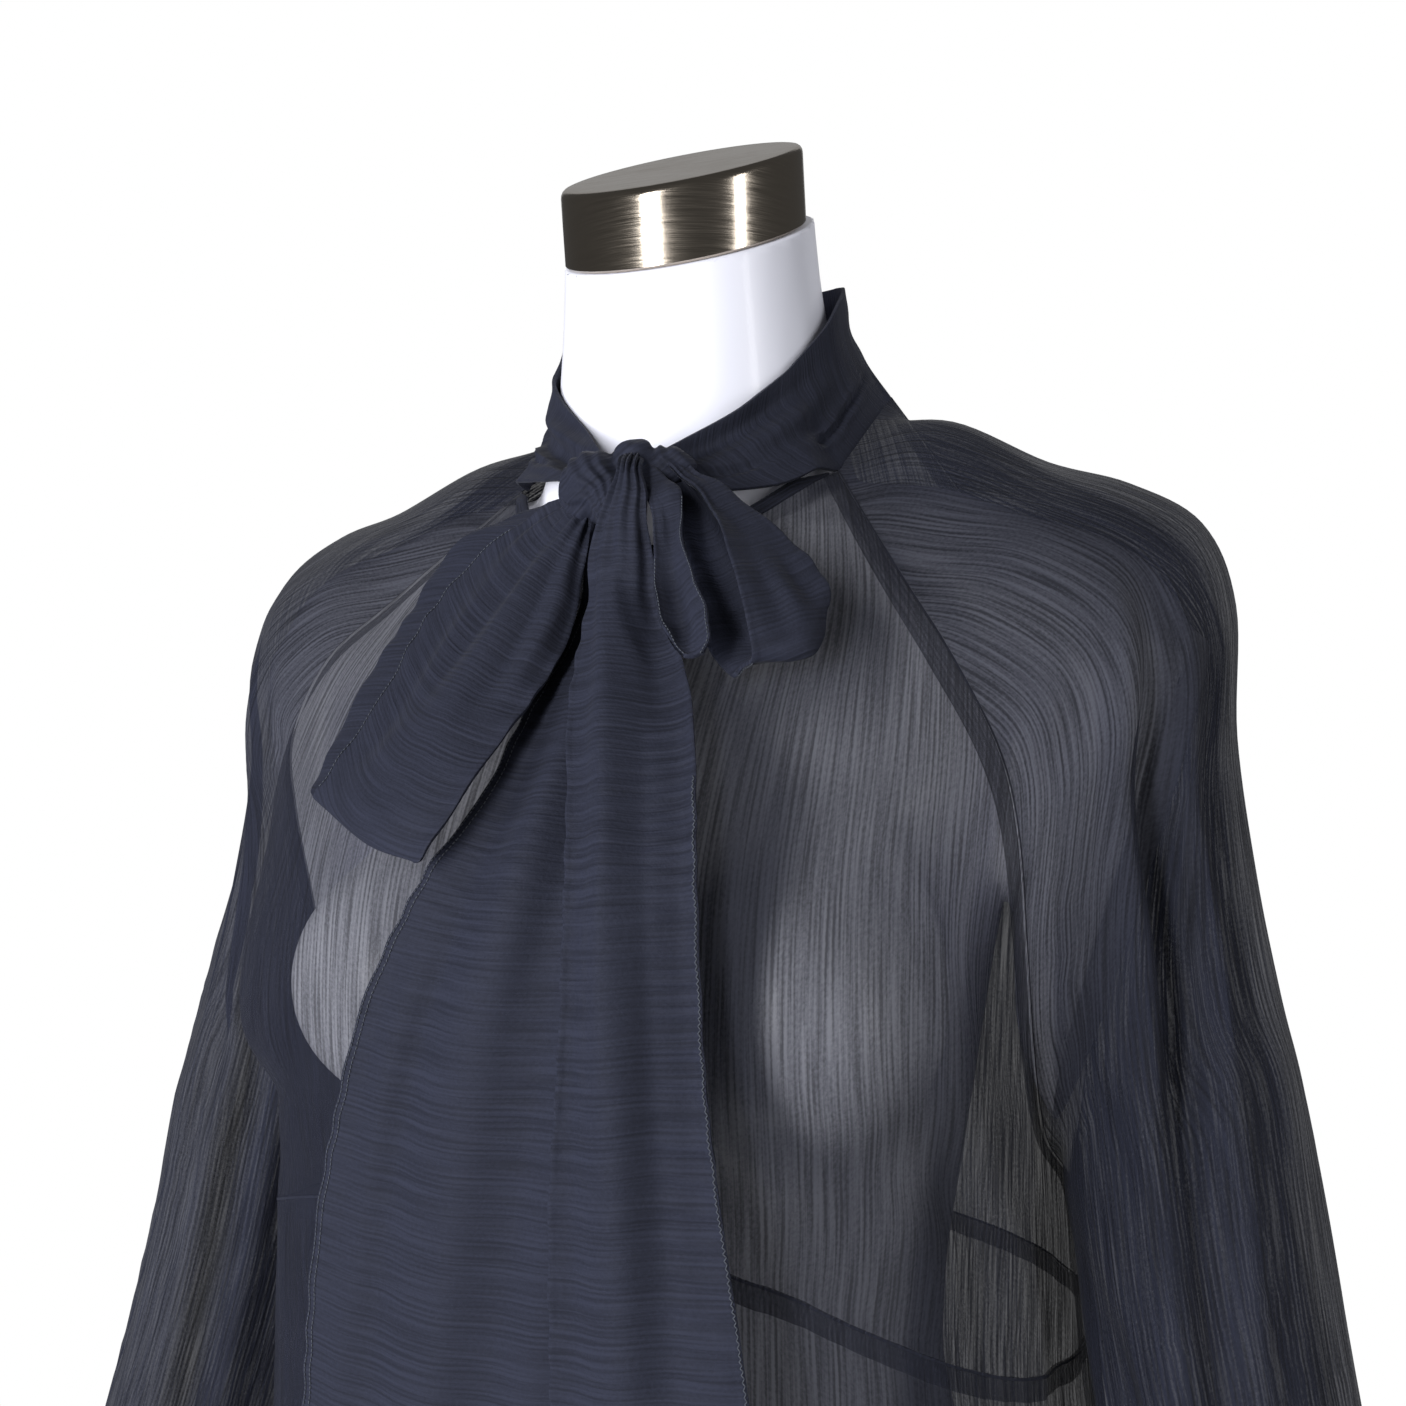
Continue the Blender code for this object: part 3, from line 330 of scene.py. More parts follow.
FRONT_TAIL = [
    ((6, -104, 1419), (21, -112, 1418), (34, -105, 1417)),
    ((8, -118, 1397), (31, -125, 1395), (49, -117, 1396)),
    ((13, -133, 1376), (41, -139, 1375), (59, -130, 1377)),
    ((22, -149, 1350), (50, -152, 1351), (67, -145, 1352)),
    ((28, -162, 1320), (55, -165, 1321), (73, -157, 1322)),
    ((29, -168, 1266), (56, -171, 1267), (78, -162, 1268)),
    ((26, -167, 1222), (55, -170, 1224), (83, -161, 1226)),
    ((25, -165, 1180), (57, -168, 1182), (89, -159, 1184)),
    ((24, -162, 1140), (58, -166, 1142), (93, -157, 1144)),
    ((24, -160, 1085), (58, -164, 1086), (94, -156, 1087)),
    ((24, -159, 1035), (58, -163, 1035), (95, -155, 1035)),
]

POLE_DIAMETER = 0.028
BASE_DIAMETER = 0.380
BASE_HEIGHT = 0.009
FORM_BOTTOM = 0.800
FACE_GAP = 0.0003

# Form and knot: where the arms' cuts end, where the bust is blended in, the rim of a cut, and the knot's skin
ARM_CUT_LOWEST = 1.120
BUST_FRONT = -0.035
BUST_LOW, BUST_HIGH = 1.175, 1.350
BUST_HALF_WIDTH = 0.150
CUT_RIM = 0.0012
KNOT_SKIN_STEP = 0.0008
KNOT_SMOOTHING = 10
KNOT_PLEATS = 6.0

# The knot's pleats and unevenness in millimetres, and the way the pleats run
KNOT_PLEAT_DEPTH = 0.55
KNOT_SWAY, KNOT_SWAY_SCALE = 1.6, 0.07
KNOT_UNEVEN, KNOT_UNEVEN_SCALE = 0.3, 0.16
KNOT_ACROSS = Vector((0.80, 0.0, 0.60))
KNOT_ALONG = Vector((-0.60, 0.0, 0.80))

# Steps of the soft lines and of half a body section
SPLINE_POINTS = 25
SECTION_STEPS = 80

# Creases fade out this near the seams and the neck, and cloth stands this far off the form
SEAM_FADE = 0.012
TOP_FADE = 0.030
STAND_OFF = 0.0006
NEAR_FORM = 0.020

# Beside a crease the cloth rises: how much, how far off and how wide, as shares of the crease
RIM_RISE, RIM_PLACE, RIM_WIDTH = 0.38, 1.9, 0.8
CREASE_ENDS = 0.7
CREASE_LINE_STEPS = 14

# Turnings inside the seams, and the fine line that each seam shows outside
TURNING_INSET = 0.0009
TURNING_STAND_OFF = 0.0004
HEM_TURNING = 0.014
SEAM_LINE = 0.0013
SEAM_LINE_LIFT = -0.0003
DOUBLED_WALL = 0.0010
STITCH_LIFT = 0.00022

# Brushed metals: the brushing is a scale for X, Y and Z
Metal = namedtuple("Metal", "colour spread brushing roughness")
NICKEL = Metal((0.50, 0.44, 0.37), 0.08, (60.0, 60.0, 2200.0), 0.17)
STEEL = Metal((0.62, 0.62, 0.63), 0.06, (1500.0, 1500.0, 60.0), 0.26)

FLOOR_RADIUS = 1.8
FLOOR_DROP = 0.0005
SENSOR_WIDTH = 36.0

# Soft boxes: size, power, degrees round from the chest, distance, height, and whether gloss mirrors them
Light = namedtuple("Light", "name width height power turn distance up glossy")
LIGHTS = [
    Light("key_left", 0.34, 1.3, 27.0, -9.0, 1.75, 1.60, True),
    Light("key_right", 0.20, 1.3, 8.0, 70.0, 1.6, 1.60, True),
    Light("low_left", 1.1, 1.1, 36.0, -40.0, 1.8, 1.05, False),
    Light("rear_top", 1.3, 1.0, 1.1, 205.0, 1.6, 2.55, True),
    Light("rear_fill", 1.2, 1.0, 26.0, 170.0, 1.7, 2.30, False),
]
LIGHTS_AIM = 1.35
GLOSSY_FILL = 0.07

# Uneven waves: fine gathers under a seam or above a cuff, and wide soft waves down the skirt
Wave = namedtuple("Wave", "pitch depth phase")
GATHER_WAVES = {
    "front": Wave(0.013, 0.0009, 2.1),
    "back": Wave(0.013, 0.0009, 0.7),
    "left": Wave(0.012, 0.0011, 1.3),
    "right": Wave(0.012, 0.0011, -0.7),
}
SKIRT_WAVES = {"front": Wave(0.041, 0.0022, 0.4), "back": Wave(0.041, 0.0022, 1.9)}
GATHERS_FADE_OUT = 3.2
GATHERS_FADE_IN = 40.0
CUFF_GATHERS_MIDDLE, CUFF_GATHERS_REACH = 0.035, 0.05
CREASES_OFF_CUFF = 14.0

# Extra cover beyond one plain layer, which is painted shade: on the back, and behind the arm by the share of
# the way round the sleeve. It darkens what shows through there, as shade does.
BACK_SHADE_COVER = 0.27
BACK_CONTRAST = 0.4
REAR_SLEEVE_SHADE_COVER = 0.155
REAR_SLEEVE_SHADE_START, REAR_SLEEVE_SHADE_BLEND = 0.60, 0.05

# Opacity and contrast of the narrow doubled cloths, and the looks of the sleeves and the tie
TURNING_COVER = (0.72, 0.10)
BINDING_COVER = (0.93, 0.05)
CUFF_COVER = (0.90, 0.08)
SLEEVE_CONTRAST = 0.6
SOFT_CRINKLE = 0.6
# The tie's spread paints shade and highlight into its colour: darker in the crinkle troughs, lighter on the
# ridge tops.
DOUBLE_LIFT, DOUBLE_RIDGE_SHADE_SPREAD = 1.12, 0.24

# Rolled edges of the ribbons, and the threads of their stitches
TIE_EDGE = 0.0005
HEM_RISE, HEM_INSET, HEM_WIDTH = 0.00045, 0.0008, 0.0009
HEM_WAVE = 0.00055
THREAD_SLANT = 0.12

# Chiffon: range of its ridges' height, and how they run
RIDGE_LOW, RIDGE_HIGH = 0.56, 0.94
RIDGE_WANDER = 0.0010
RIDGE_LENGTH = 40.0
WAVE_PITCH, WAVE_SHARE = 1.7, 0.05
GRAIN_SHARE = 0.50

# Finer steps of the cloth for each step of its tables, down and across
BODY_STEPS = (8, 4)
SLEEVE_STEPS = (8, 6)
CUFF_STEPS = (8, 6)
COLLAR_STEPS = (10, 5)

Crease = namedtuple("Crease", "width depth path")

# Soft troughs (depth over 0) and ridges, in millimetres. A path runs through (row, column) places of the
# piece's table.
SLEEVE_CREASES = {
    "left": [
        Crease(7.0, 11.0, [(4.0, 6.4), (4.8, 6.0), (5.8, 6.0), (7.0, 6.7), (8.2, 6.4), (9.4, 6.0),
                           (11.0, 5.8), (13.0, 5.6)]),
        Crease(8.0, -4.5, [(5.0, 7.4), (6.4, 7.6), (8.0, 8.1), (10.0, 7.6), (12.0, 7.2)]),
        Crease(6.0, 2.6, [(4.4, 0.8), (4.8, 1.9), (4.4, 3.0)]),
        Crease(6.0, 2.4, [(5.3, 1.2), (5.7, 2.4), (5.2, 3.8)]),
        Crease(5.0, 2.2, [(6.4, 1.0), (6.4, 2.6), (5.9, 4.0)]),
        Crease(5.0, 2.0, [(7.4, 0.8), (7.2, 2.2), (6.8, 3.4)]),
        Crease(10.0, 5.0, [(9.6, 2.0), (11.0, 2.6), (13.0, 3.0), (15.0, 3.2)]),
        Crease(9.0, 3.5, [(9.0, 9.6), (11.0, 9.8), (13.5, 9.2), (16.0, 9.0)]),
        Crease(11.0, 5.0, [(5.0, 15.6), (7.0, 15.2), (10.0, 15.8), (14.0, 15.0)]),
        Crease(9.0, 4.0, [(8.0, 19.0), (11.0, 18.6), (15.0, 19.2)]),
        Crease(7.0, 2.4, [(3.4, 18.6), (4.2, 17.4), (4.0, 16.2)]),
        Crease(7.0, 2.6, [(4.8, 19.6), (5.4, 18.4), (5.0, 17.0)]),
    ],
    "right": [
        Crease(8.0, 7.0, [(4.4, 6.0), (5.4, 5.6), (7.4, 6.2), (9.6, 5.4), (12.0, 5.0)]),
        Crease(7.0, 6.0, [(7.4, 3.6), (9.0, 4.0), (10.6, 3.6), (13.0, 3.2)]),
        Crease(7.0, -2.6, [(7.6, 2.4), (10.0, 2.6), (13.0, 2.2)]),
        Crease(6.0, 2.4, [(4.2, 0.8), (4.7, 2.0), (4.2, 3.2)]),
        Crease(6.0, 2.2, [(5.4, 1.0), (5.9, 2.2), (5.5, 3.4)]),
        Crease(9.0, 3.6, [(8.6, 9.0), (11.0, 9.4), (14.0, 8.8)]),
        Crease(10.0, 4.6, [(5.6, 16.4), (8.0, 15.8), (11.0, 16.6), (14.4, 15.8)]),
        Crease(8.0, 3.6, [(7.6, 19.6), (10.0, 19.0), (14.0, 19.4)]),
        Crease(7.0, 2.2, [(3.8, 18.0), (4.6, 17.0), (4.4, 15.8)]),
    ],
}
FRONT_CREASES = [
    Crease(11.0, 2.6, [(5.6, 26.6), (7.4, 26.2), (9.4, 26.8), (11.6, 26.0)]),
    Crease(9.0, -2.0, [(6.4, 28.0), (8.6, 27.8), (11.0, 28.2)]),
    Crease(9.0, 2.4, [(8.0, 29.6), (9.6, 29.4), (12.4, 29.8)]),
    Crease(10.0, 2.0, [(9.0, 22.4), (10.4, 22.0), (11.6, 22.3)]),
    Crease(8.0, 2.0, [(8.6, 4.0), (9.8, 4.6), (11.4, 4.2)]),
    Crease(9.0, 2.2, [(7.0, 1.8), (8.6, 2.2), (10.6, 1.6)]),
    Crease(13.0, 3.6, [(12.4, 27.0), (14.0, 26.6), (17.0, 27.4)]),
    Crease(12.0, 3.2, [(12.3, 21.6), (14.4, 22.2), (17.6, 21.4)]),
    Crease(13.0, 3.4, [(12.5, 15.0), (15.0, 15.5), (18.0, 14.8)]),
    Crease(12.0, 3.4, [(12.3, 9.6), (14.0, 9.1), (17.4, 10.0)]),
    Crease(12.0, 3.0, [(12.4, 4.6), (14.6, 5.2), (17.8, 4.4)]),
]
BACK_CREASES = [
    Crease(12.0, 2.6, [(4.0, 8.0), (6.4, 8.8), (9.4, 8.2)]),
    Crease(14.0, 3.2, [(5.4, 14.6), (8.4, 15.2), (11.6, 14.4)]),
    Crease(12.0, 2.8, [(4.6, 22.6), (7.6, 21.8), (10.4, 22.8)]),
    Crease(10.0, 2.4, [(6.6, 27.0), (8.8, 26.4), (11.6, 27.2)]),
    Crease(10.0, 2.2, [(7.0, 3.6), (9.2, 4.2), (11.4, 3.4)]),
    Crease(13.0, 3.6, [(12.4, 6.0), (14.4, 6.6), (17.6, 5.8)]),
    Crease(13.0, 3.8, [(12.3, 12.6), (15.0, 12.0), (18.0, 12.8)]),
    Crease(12.0, 3.4, [(12.5, 19.4), (14.2, 20.0), (17.4, 19.0)]),
    Crease(13.0, 3.6, [(12.4, 26.4), (14.8, 25.8), (17.8, 26.8)]),
]
COLLAR_CREASES = [
    Crease(1.5, 2.4, [(2.0, 1.0), (2.2, 5.0), (2.2, 9.0), (2.2, 13.0), (2.1, 18.0)]),
    Crease(5.0, 3.6, [(0.9, 1.0), (0.9, 3.5), (0.8, 6.0), (0.6, 8.5)]),
    Crease(4.0, -2.2, [(1.5, 0.5), (1.5, 4.0), (1.4, 8.0), (1.2, 12.0)]),
    Crease(3.6, 4.2, [(1.8, 53.5), (1.7, 51.0), (1.5, 47.0), (1.1, 43.0)]),
    Crease(4.0, -2.6, [(1.1, 53.5), (1.0, 50.0), (0.8, 46.0)]),
    Crease(1.5, 2.4, [(2.2, 53.0), (2.3, 49.0), (2.2, 44.0), (2.1, 38.0)]),
    Crease(5.0, 1.8, [(1.0, 18.0), (1.3, 24.0), (1.0, 30.0)]),
    Crease(5.0, 1.6, [(1.8, 28.0), (1.5, 34.0), (1.8, 40.0)]),
]

# The front tail's root as it crosses the knot, left, middle and right, before the rows of its table
FRONT_TAIL_OVER_KNOT = [
    ((12, -87, 1471), (15, -89, 1472), (18, -87, 1471)),
    ((13, -94, 1466), (17, -97, 1467), (21, -94, 1466)),
    ((12, -97, 1458), (18, -100, 1458), (24, -96, 1457)),
    ((8, -100, 1447), (17, -104, 1447), (26, -98, 1447)),
    ((6, -102, 1434), (19, -108, 1433), (30, -101, 1433)),
]
Gathers = namedtuple("Gathers", "count depth reach")
GATHERS_AT_KNOT = {
    "bow_loop_right": Gathers(5.0, 1.6, 26.0),
    "bow_loop_left": Gathers(2.5, 1.1, 16.0),
    "bow_lobe": Gathers(1.5, 0.8, 14.0),
    "tail_rear": Gathers(3.0, 1.2, 24.0),
    "tail_front": Gathers(4.0, 1.5, 42.0),
}
TIE_CREASES = {
    "bow_loop_right": [
        Crease(5.0, 2.6, [(1.0, 2.2), (4.0, 2.6), (8.0, 2.4)]),
        Crease(5.0, 2.4, [(1.4, 4.6), (4.5, 5.0), (7.0, 5.4)]),
        Crease(4.0, -1.8, [(1.0, 6.2), (3.5, 6.4), (6.0, 6.8)]),
        Crease(6.0, 1.6, [(5.0, 1.0), (8.0, 1.4), (9.6, 1.0)]),
    ],
    "bow_loop_left": [
        Crease(4.0, 2.2, [(1.0, 2.2), (4.0, 2.4), (8.0, 2.0)]),
        Crease(4.0, 1.8, [(3.0, 4.4), (6.0, 4.2), (9.0, 4.6)]),
        Crease(4.0, 2.0, [(12.0, 2.4), (15.0, 3.0), (18.5, 3.0)]),
    ],
    "bow_lobe": [
        Crease(3.2, 1.8, [(0.8, 3.6), (3.0, 3.4), (6.0, 3.0)]),
        Crease(4.0, 2.2, [(6.0, 2.4), (8.6, 2.8), (10.6, 3.0)]),
    ],
    "tail_rear": [
        Crease(9.0, 3.0, [(1.6, 5.4), (3.5, 5.2), (6.0, 5.4), (9.0, 5.0), (10.6, 5.2)]),
        Crease(8.0, -2.4, [(2.4, 3.4), (4.5, 3.2), (7.0, 3.4), (10.0, 3.0)]),
        Crease(7.0, 2.6, [(3.0, 1.8), (5.0, 1.6), (7.6, 1.9), (10.4, 1.5)]),
        Crease(5.0, 1.6, [(4.6, 0.8), (6.4, 0.7), (8.4, 0.9)]),
    ],
    "tail_front": [
        Crease(8.0, 3.6, [(3.6, 5.4), (6.0, 5.6), (9.0, 5.2), (12.0, 5.5), (15.0, 5.2)]),
        Crease(8.0, -2.6, [(4.6, 2.6), (7.0, 2.4), (10.0, 2.7), (14.6, 2.4)]),
        Crease(5.0, 2.2, [(5.0, 7.0), (7.0, 6.9), (9.4, 7.1), (12.6, 6.9)]),
        Crease(5.0, 1.8, [(6.6, 1.1), (9.0, 1.0), (12.4, 1.2)]),
        Crease(4.0, 1.6, [(2.6, 3.4), (4.0, 3.7), (6.4, 3.8)]),
    ],
}
Stitches = namedtuple("Stitches", "edge side inset first last pitch length zigzag")

# Rows of stitches: which edge, outer (1) or inner (-1) face, inset, stretch along the ribbon, pitch, length,
# slant
EDGE_STITCHES = {
    "tail_rear": [
        Stitches("left", 1, 0.7, 0.10, 0.995, 1.7, 1.15, 0.0),
        Stitches("left", 1, 2.9, 0.14, 0.995, 1.7, 1.15, 0.0),
    ],
    "tail_front": [
        Stitches("right", 1, 0.8, 0.52, 0.995, 1.1, 1.5, 0.75),
    ],
    "bow_lobe": [
        Stitches("left", 1, 0.6, 0.45, 1.0, 1.4, 1.0, 0.0),
        Stitches("right", 1, 0.6, 0.20, 1.0, 1.4, 1.0, 0.0),
    ],
    "bow_loop_left": [
        Stitches("left", 1, 0.6, 0.52, 0.80, 1.4, 1.0, 0.0),
    ],
    "bow_loop_right": [
        Stitches("left", 1, 0.7, 0.10, 0.50, 1.7, 1.15, 0.0),
    ],
}

# Flat cut of what shows of each piece: width, length and area in metres
Cut = namedtuple("Cut", "width length area")


def loft(rings):
    """One closed body through rings of equal count, with a flat fan on each end."""
    count = len(rings[0])
    points = [p for ring in rings for p in ring]
    faces = []
    for row in range(len(rings) - 1):
        low, high = row * count, (row + 1) * count
        for i in range(count):
            j = (i + 1) % count
            faces.append((low + i, low + j, high + j, high + i))
    faces.append(tuple(reversed(range(count))))
    faces.append(tuple(range(len(points) - count, len(points))))
    return points, faces


def superellipse(half_width, front, back, square, count):
    ring = []
    for i in range(count):
        angle = 2.0 * math.pi * i / count
        across, along = math.cos(angle), math.sin(angle)
        depth = back if along > 0 else front
        x = math.copysign(abs(across) ** (2.0 / square), across) * half_width
        y = math.copysign(abs(along) ** (2.0 / square), along) * depth
        ring.append((x, y))
    return ring


def circle(radius, count):
    return superellipse(radius, radius, radius, 2, count)


def form_volumes():
    """Points and faces of the overlapping volumes that the form's skin is drawn over."""
    torso = []
    for height, half_width, front, back in TORSO:
        ring = superellipse(half_width, front, back, TORSO_SQUARE, TORSO_SIDES)
        torso.append([(x * MM, y * MM, height * MM) for x, y in ring])
    neck = []
    for height, radius, middle in NECK:
        ring = circle(radius, LIMB_SIDES)
        neck.append([(x * MM, (y + middle) * MM, height * MM) for x, y in ring])
    volumes = [loft(torso), loft(neck)]
    for side in (1, -1):
        shoulder = []
        for out, top, bottom, front, back in SHOULDER:
            middle, half = (top + bottom) / 2, (top - bottom) / 2
            ring = superellipse(half, front, back, LIMB_SQUARE, LIMB_SIDES)
            shoulder.append([(side * out * MM, y * MM, (middle + x) * MM) for x, y in ring])
        arm = []
        for height, across, half_width, half_depth in UPPER_ARM:
            ring = superellipse(half_width, half_depth, half_depth, LIMB_SQUARE, LIMB_SIDES)
            arm.append([((across + x) * side * MM, (y + ARM_BACKWARDS) * MM, height * MM) for x, y in ring])
        volumes += [loft(shoulder), loft(arm)]
    return volumes


def mesh_of(shape, name):
    """The shape as a new mesh, with the shape used up."""
    mesh = bpy.data.meshes.new(name)
    shape.to_mesh(mesh)
    shape.free()
    return mesh


def joined_mesh(name, volumes, spheres):
    """Closed volumes in one mesh, each with its faces outwards."""
    shape = bmesh.new()
    for points, faces in volumes:
        corners = [shape.verts.new(p) for p in points]
        for face in faces:
            shape.faces.new([corners[i] for i in face])
    for centre, radius in spheres:
        bmesh.ops.create_icosphere(shape, subdivisions=4, radius=radius, matrix=Matrix.Translation(centre))
    bmesh.ops.recalc_face_normals(shape, faces=shape.faces)
    return mesh_of(shape, name)


def tilted_circle(centre, radius, count):
    return [(centre.x + x, centre.y + y * math.cos(CAP_TILT), centre.z + y * math.sin(CAP_TILT))
            for x, y in circle(radius, count)]


def soft_between(p0, p1, p2, p3, t):
    """Points of the soft curve from p1 to p2, at the shares t of the way."""
    return 0.5 * (2 * p1 + (p2 - p0) * t + (2 * p0 - 5 * p1 + 4 * p2 - p3) * t**2
                  + (3 * p1 - p0 - 3 * p2 + p3) * t**3)


def line_run(line):
    """Distance run along a line, for each point."""
    return np.concatenate([[0.0], np.cumsum(np.linalg.norm(np.diff(line, axis=0), axis=1))])


def resample(points, count):
    """The same line with equal steps along it."""
    line = np.asarray(points, dtype=float)
    run = line_run(line)
    wanted = np.linspace(0.0, run[-1], count + 1)
    return np.stack([np.interp(wanted, run, line[:, k]) for k in range(3)], axis=1)


def spline(guides, pieces):
    """A soft line through the guides, with the stated number of equal steps between neighbours."""
    line = np.asarray(guides, dtype=float)
    before = 2 * line[0] - line[1]
    after = 2 * line[-1] - line[-2]
    padded = np.vstack([before, line, after])
    made = [line[0]]
    for k, count in enumerate(pieces):
        fine = soft_between(*padded[k:k + 4], np.linspace(0.0, 1.0, SPLINE_POINTS)[:, None])
        made.extend(resample(fine, count)[1:])
    return np.array(made)


def body_row(side, middle, square):
    """Half a section of the body, mirrored: from the right seam over the centre line to the left seam."""
    across, depth, height = side
    middle_depth, middle_height = middle
    share = min(1.0, max(0.0, depth / middle_depth))
    last = math.acos(share ** (square / 2))
    half_width = across / math.sin(last) ** (2 / square)
    half = []
    for i in range(SECTION_STEPS + 1):
        angle = last * i / SECTION_STEPS
        x = half_width * math.sin(angle) ** (2 / square)
        y = middle_depth * math.cos(angle) ** (2 / square)
        z = middle_height + (height - middle_height) * (x / across) ** SECTION_SAG
        half.append((x, y, z))
    half[-1] = side
    left = resample(half, BODY_COLUMNS // 2)
    right = left[:0:-1] * (-1, 1, 1)
    return np.vstack([right, left])


def body_rows(front):
    """All sections of the front or the back, from the neckline to the hem, and the seam's row number."""
    rows = []
    for s in STATIONS:
        seam = s.front_seam if front else s.back_seam
        middle = s.front_middle if front else s.back_middle
        rows.append(body_row(seam, middle, s.square))
    for ring in UPPER_TUBE + LOWER_TUBE:
        depth = ring.front_depth if front else ring.back_depth
        height = ring.front_height if front else ring.side_height
        rows.append(body_row((ring.side, 0, ring.side_height), (depth, height), ring.square))
    rows = np.array(rows)
    seam = len(STATIONS) + len(UPPER_TUBE) - 1
    steps = len(rows) - 1 - seam
    turn = np.linspace(0.0, 2.0 * math.pi * GATHERS_PER_PANEL, BODY_COLUMNS + 1)
    sign = -1 if front else 1
    for row in range(seam + 1, len(rows)):
        share = GATHER_START + (1.0 - GATHER_START) * (row - seam) / steps
        fade = np.hanning(BODY_COLUMNS + 3)[1:-1]
        rows[row, :, 1] += sign * share * GATHER_DEPTH_AT_HEM / MM * np.sin(turn) * fade
    for step, share in SEAM_TILT_BY_ROW.items():
        across = rows[seam + step, :, 0] / UPPER_TUBE[-1].side
        rows[seam + step, :, 2] -= share * SEAM_TILT / MM * across * np.abs(across)
    return rows * MM, seam


def tube_row(tube):
    """A closed section of a sleeve or cuff, starting and ending at its inner line, by way of the front."""
    centre_x, half_x = (tube.inner + tube.outer) / 2, (tube.outer - tube.inner) / 2
    angles = []
    for quarter, count in enumerate(SLEEVE_QUARTERS):
        angles.extend(math.pi / 2 * (quarter + i / count) for i in range(count))
    angles.append(2 * math.pi)
    row = []
    for angle in angles:
        share = (1 - math.cos(angle)) / 2
        row.append((
            centre_x - half_x * math.cos(angle),
            tube.middle - tube.half_depth * math.sin(angle),
            tube.inner_height + (tube.outer_height - tube.inner_height) * share,
        ))
    row[-1] = row[0]
    return np.array(row)


def underarm_row(station):
    """The section where the two raglan seams meet and the sleeve closes into a tube."""
    tube = Tube(station.front_seam[0], station.front_seam[2], station.arm_outer[0], station.arm_outer[2],
                station.arm_outer[1] / 2, (station.arm_back[1] - station.arm_front[1]) / 2)
    row = tube_row(tube)
    row[0] = station.front_seam
    row[-1] = station.front_seam
    return row


def sleeve_rows(side):
    """All sections of one sleeve, from the neck to the cuff."""
    rows = []
    for s in STATIONS[:-1]:
        guides = [s.front_seam, s.arm_front, s.arm_outer, s.arm_back, s.back_seam]
        rows.append(spline(guides, SLEEVE_QUARTERS))
    rows.append(underarm_row(STATIONS[-1]))
    rows.extend(tube_row(tube) for tube in SLEEVE_TUBE)
    rows = np.array(rows)
    columns = np.arange(rows.shape[1])
    outer = np.sin(math.pi * columns / columns[-1])
    for row, given in zip(rows, SLEEVE_SET):
        out, up = (given.left_out, given.left_up) if side > 0 else (given.right_out, given.right_up)
        row[:, 0] += out * outer
        row[:, 2] += up * outer
    for fold in SLEEVE_FOLDS:
        for row in range(fold.first_row, fold.last_row):
            swell = math.sin(math.pi * (row - fold.first_row + 0.5) / (fold.last_row - fold.first_row))
            trough = fold.depth * swell * np.exp(-((columns - fold.column) / fold.width) ** 2)
            trough[0] = trough[-1] = 0.0
            middle = rows[row].mean(axis=0)
            inwards = middle - rows[row]
            inwards /= np.linalg.norm(inwards, axis=1)[:, None]
            rows[row] += inwards * trough[:, None]
    return rows * (side * MM, MM, MM)


def is_inside(point, skin):
    """True where a line from the point leaves the skin an odd number of times."""
    heading = Vector((0.11, 0.07, 0.99)).normalized()
    crossings = 0
    start = point
    while True:
        hit = skin.ray_cast(start, heading)[0]
        if hit is None:
            return crossings % 2 == 1
        crossings += 1
        start = hit + heading * 1e-6


def lift_off(place, skin, gap):
    """How far a point has to move to lie outside the skin by the gap."""
    spot = skin.find_nearest(place)[0]
    away = place - spot
    if is_inside(place, skin):
        return -away - away.normalized() * gap
    if away.length < gap:
        return away.normalized() * (gap - away.length)
    return Vector((0.0, 0.0, 0.0))


def keep_clear(rows, skin, gap):
    """The rows with every point, and the middle of every cell, outside the form's skin by the gap."""
    made = rows.copy()
    for _ in range(CLEARING_ROUNDS):
        flat = made.reshape(-1, 3)
        for i, point in enumerate(flat):
            flat[i] += lift_off(Vector(point), skin, gap)
        middles = (made[:-1, :-1] + made[1:, :-1] + made[:-1, 1:] + made[1:, 1:]) / 4
        for r in range(middles.shape[0]):
            for c in range(middles.shape[1]):
                made[r:r + 2, c:c + 2] += lift_off(Vector(middles[r, c]), skin, gap)
    return made


def binding_rows(front):
    """The narrow bound edge above the front neckline, lower towards the two raglan seams."""
    edge, below = front[0, 1:-1], front[1, 1:-1]
    rise = edge - below
    rise /= np.linalg.norm(rise, axis=1)[:, None]
    run = line_run(edge)
    from_end = np.minimum(run, run[-1] - run)
    height = BINDING_HEIGHT * np.clip(from_end / BINDING_TAPER, BINDING_END, 1.0)
    return np.array([edge + rise * height[:, None] * share for share in (1.0, 0.5, 0.0)])


def neck_seam(back, sleeves):
    """Every other point of the seam that carries the collar, from the left raglan seam round to the right."""
    left = sleeves["left"][0]
    right = sleeves["right"][0][::-1]
    middle = back[0][::-1]
    return np.vstack([left[:-1:2], middle[:-1:2], right[::2]])


def collar_rows(seam):
    """The tie collar from its top edge to its bottom edge, one column for each station round the neck."""
    free_left = np.array(COLLAR_LEFT_FREE, dtype=float) * MM
    free_right = np.array(COLLAR_RIGHT_FREE, dtype=float) * MM
    sewn = np.array(COLLAR_TOP_SEWN, dtype=float) * MM
    top_guides = np.vstack([free_left[-1:, 1], sewn, free_right[:1, 1]])
    line = spline(top_guides, [12] * (len(top_guides) - 1))
    fine = resample(line, len(seam) + 1)
    lower = np.vstack([spline(free_left[:, 0], [2] * 4), seam, spline(free_right[:, 0], [2] * 3)])
    upper = np.vstack([spline(free_left[:, 1], [2] * 4), fine[1:-1], spline(free_right[:, 1], [2] * 3)])
    rows = []
    for share in COLLAR_HEIGHTS:
        inwards = 1.0 - (1.0 - share) ** COLLAR_FLARE
        rows.append(lower + (upper - lower) * (inwards, inwards, share))
    return np.array(rows)


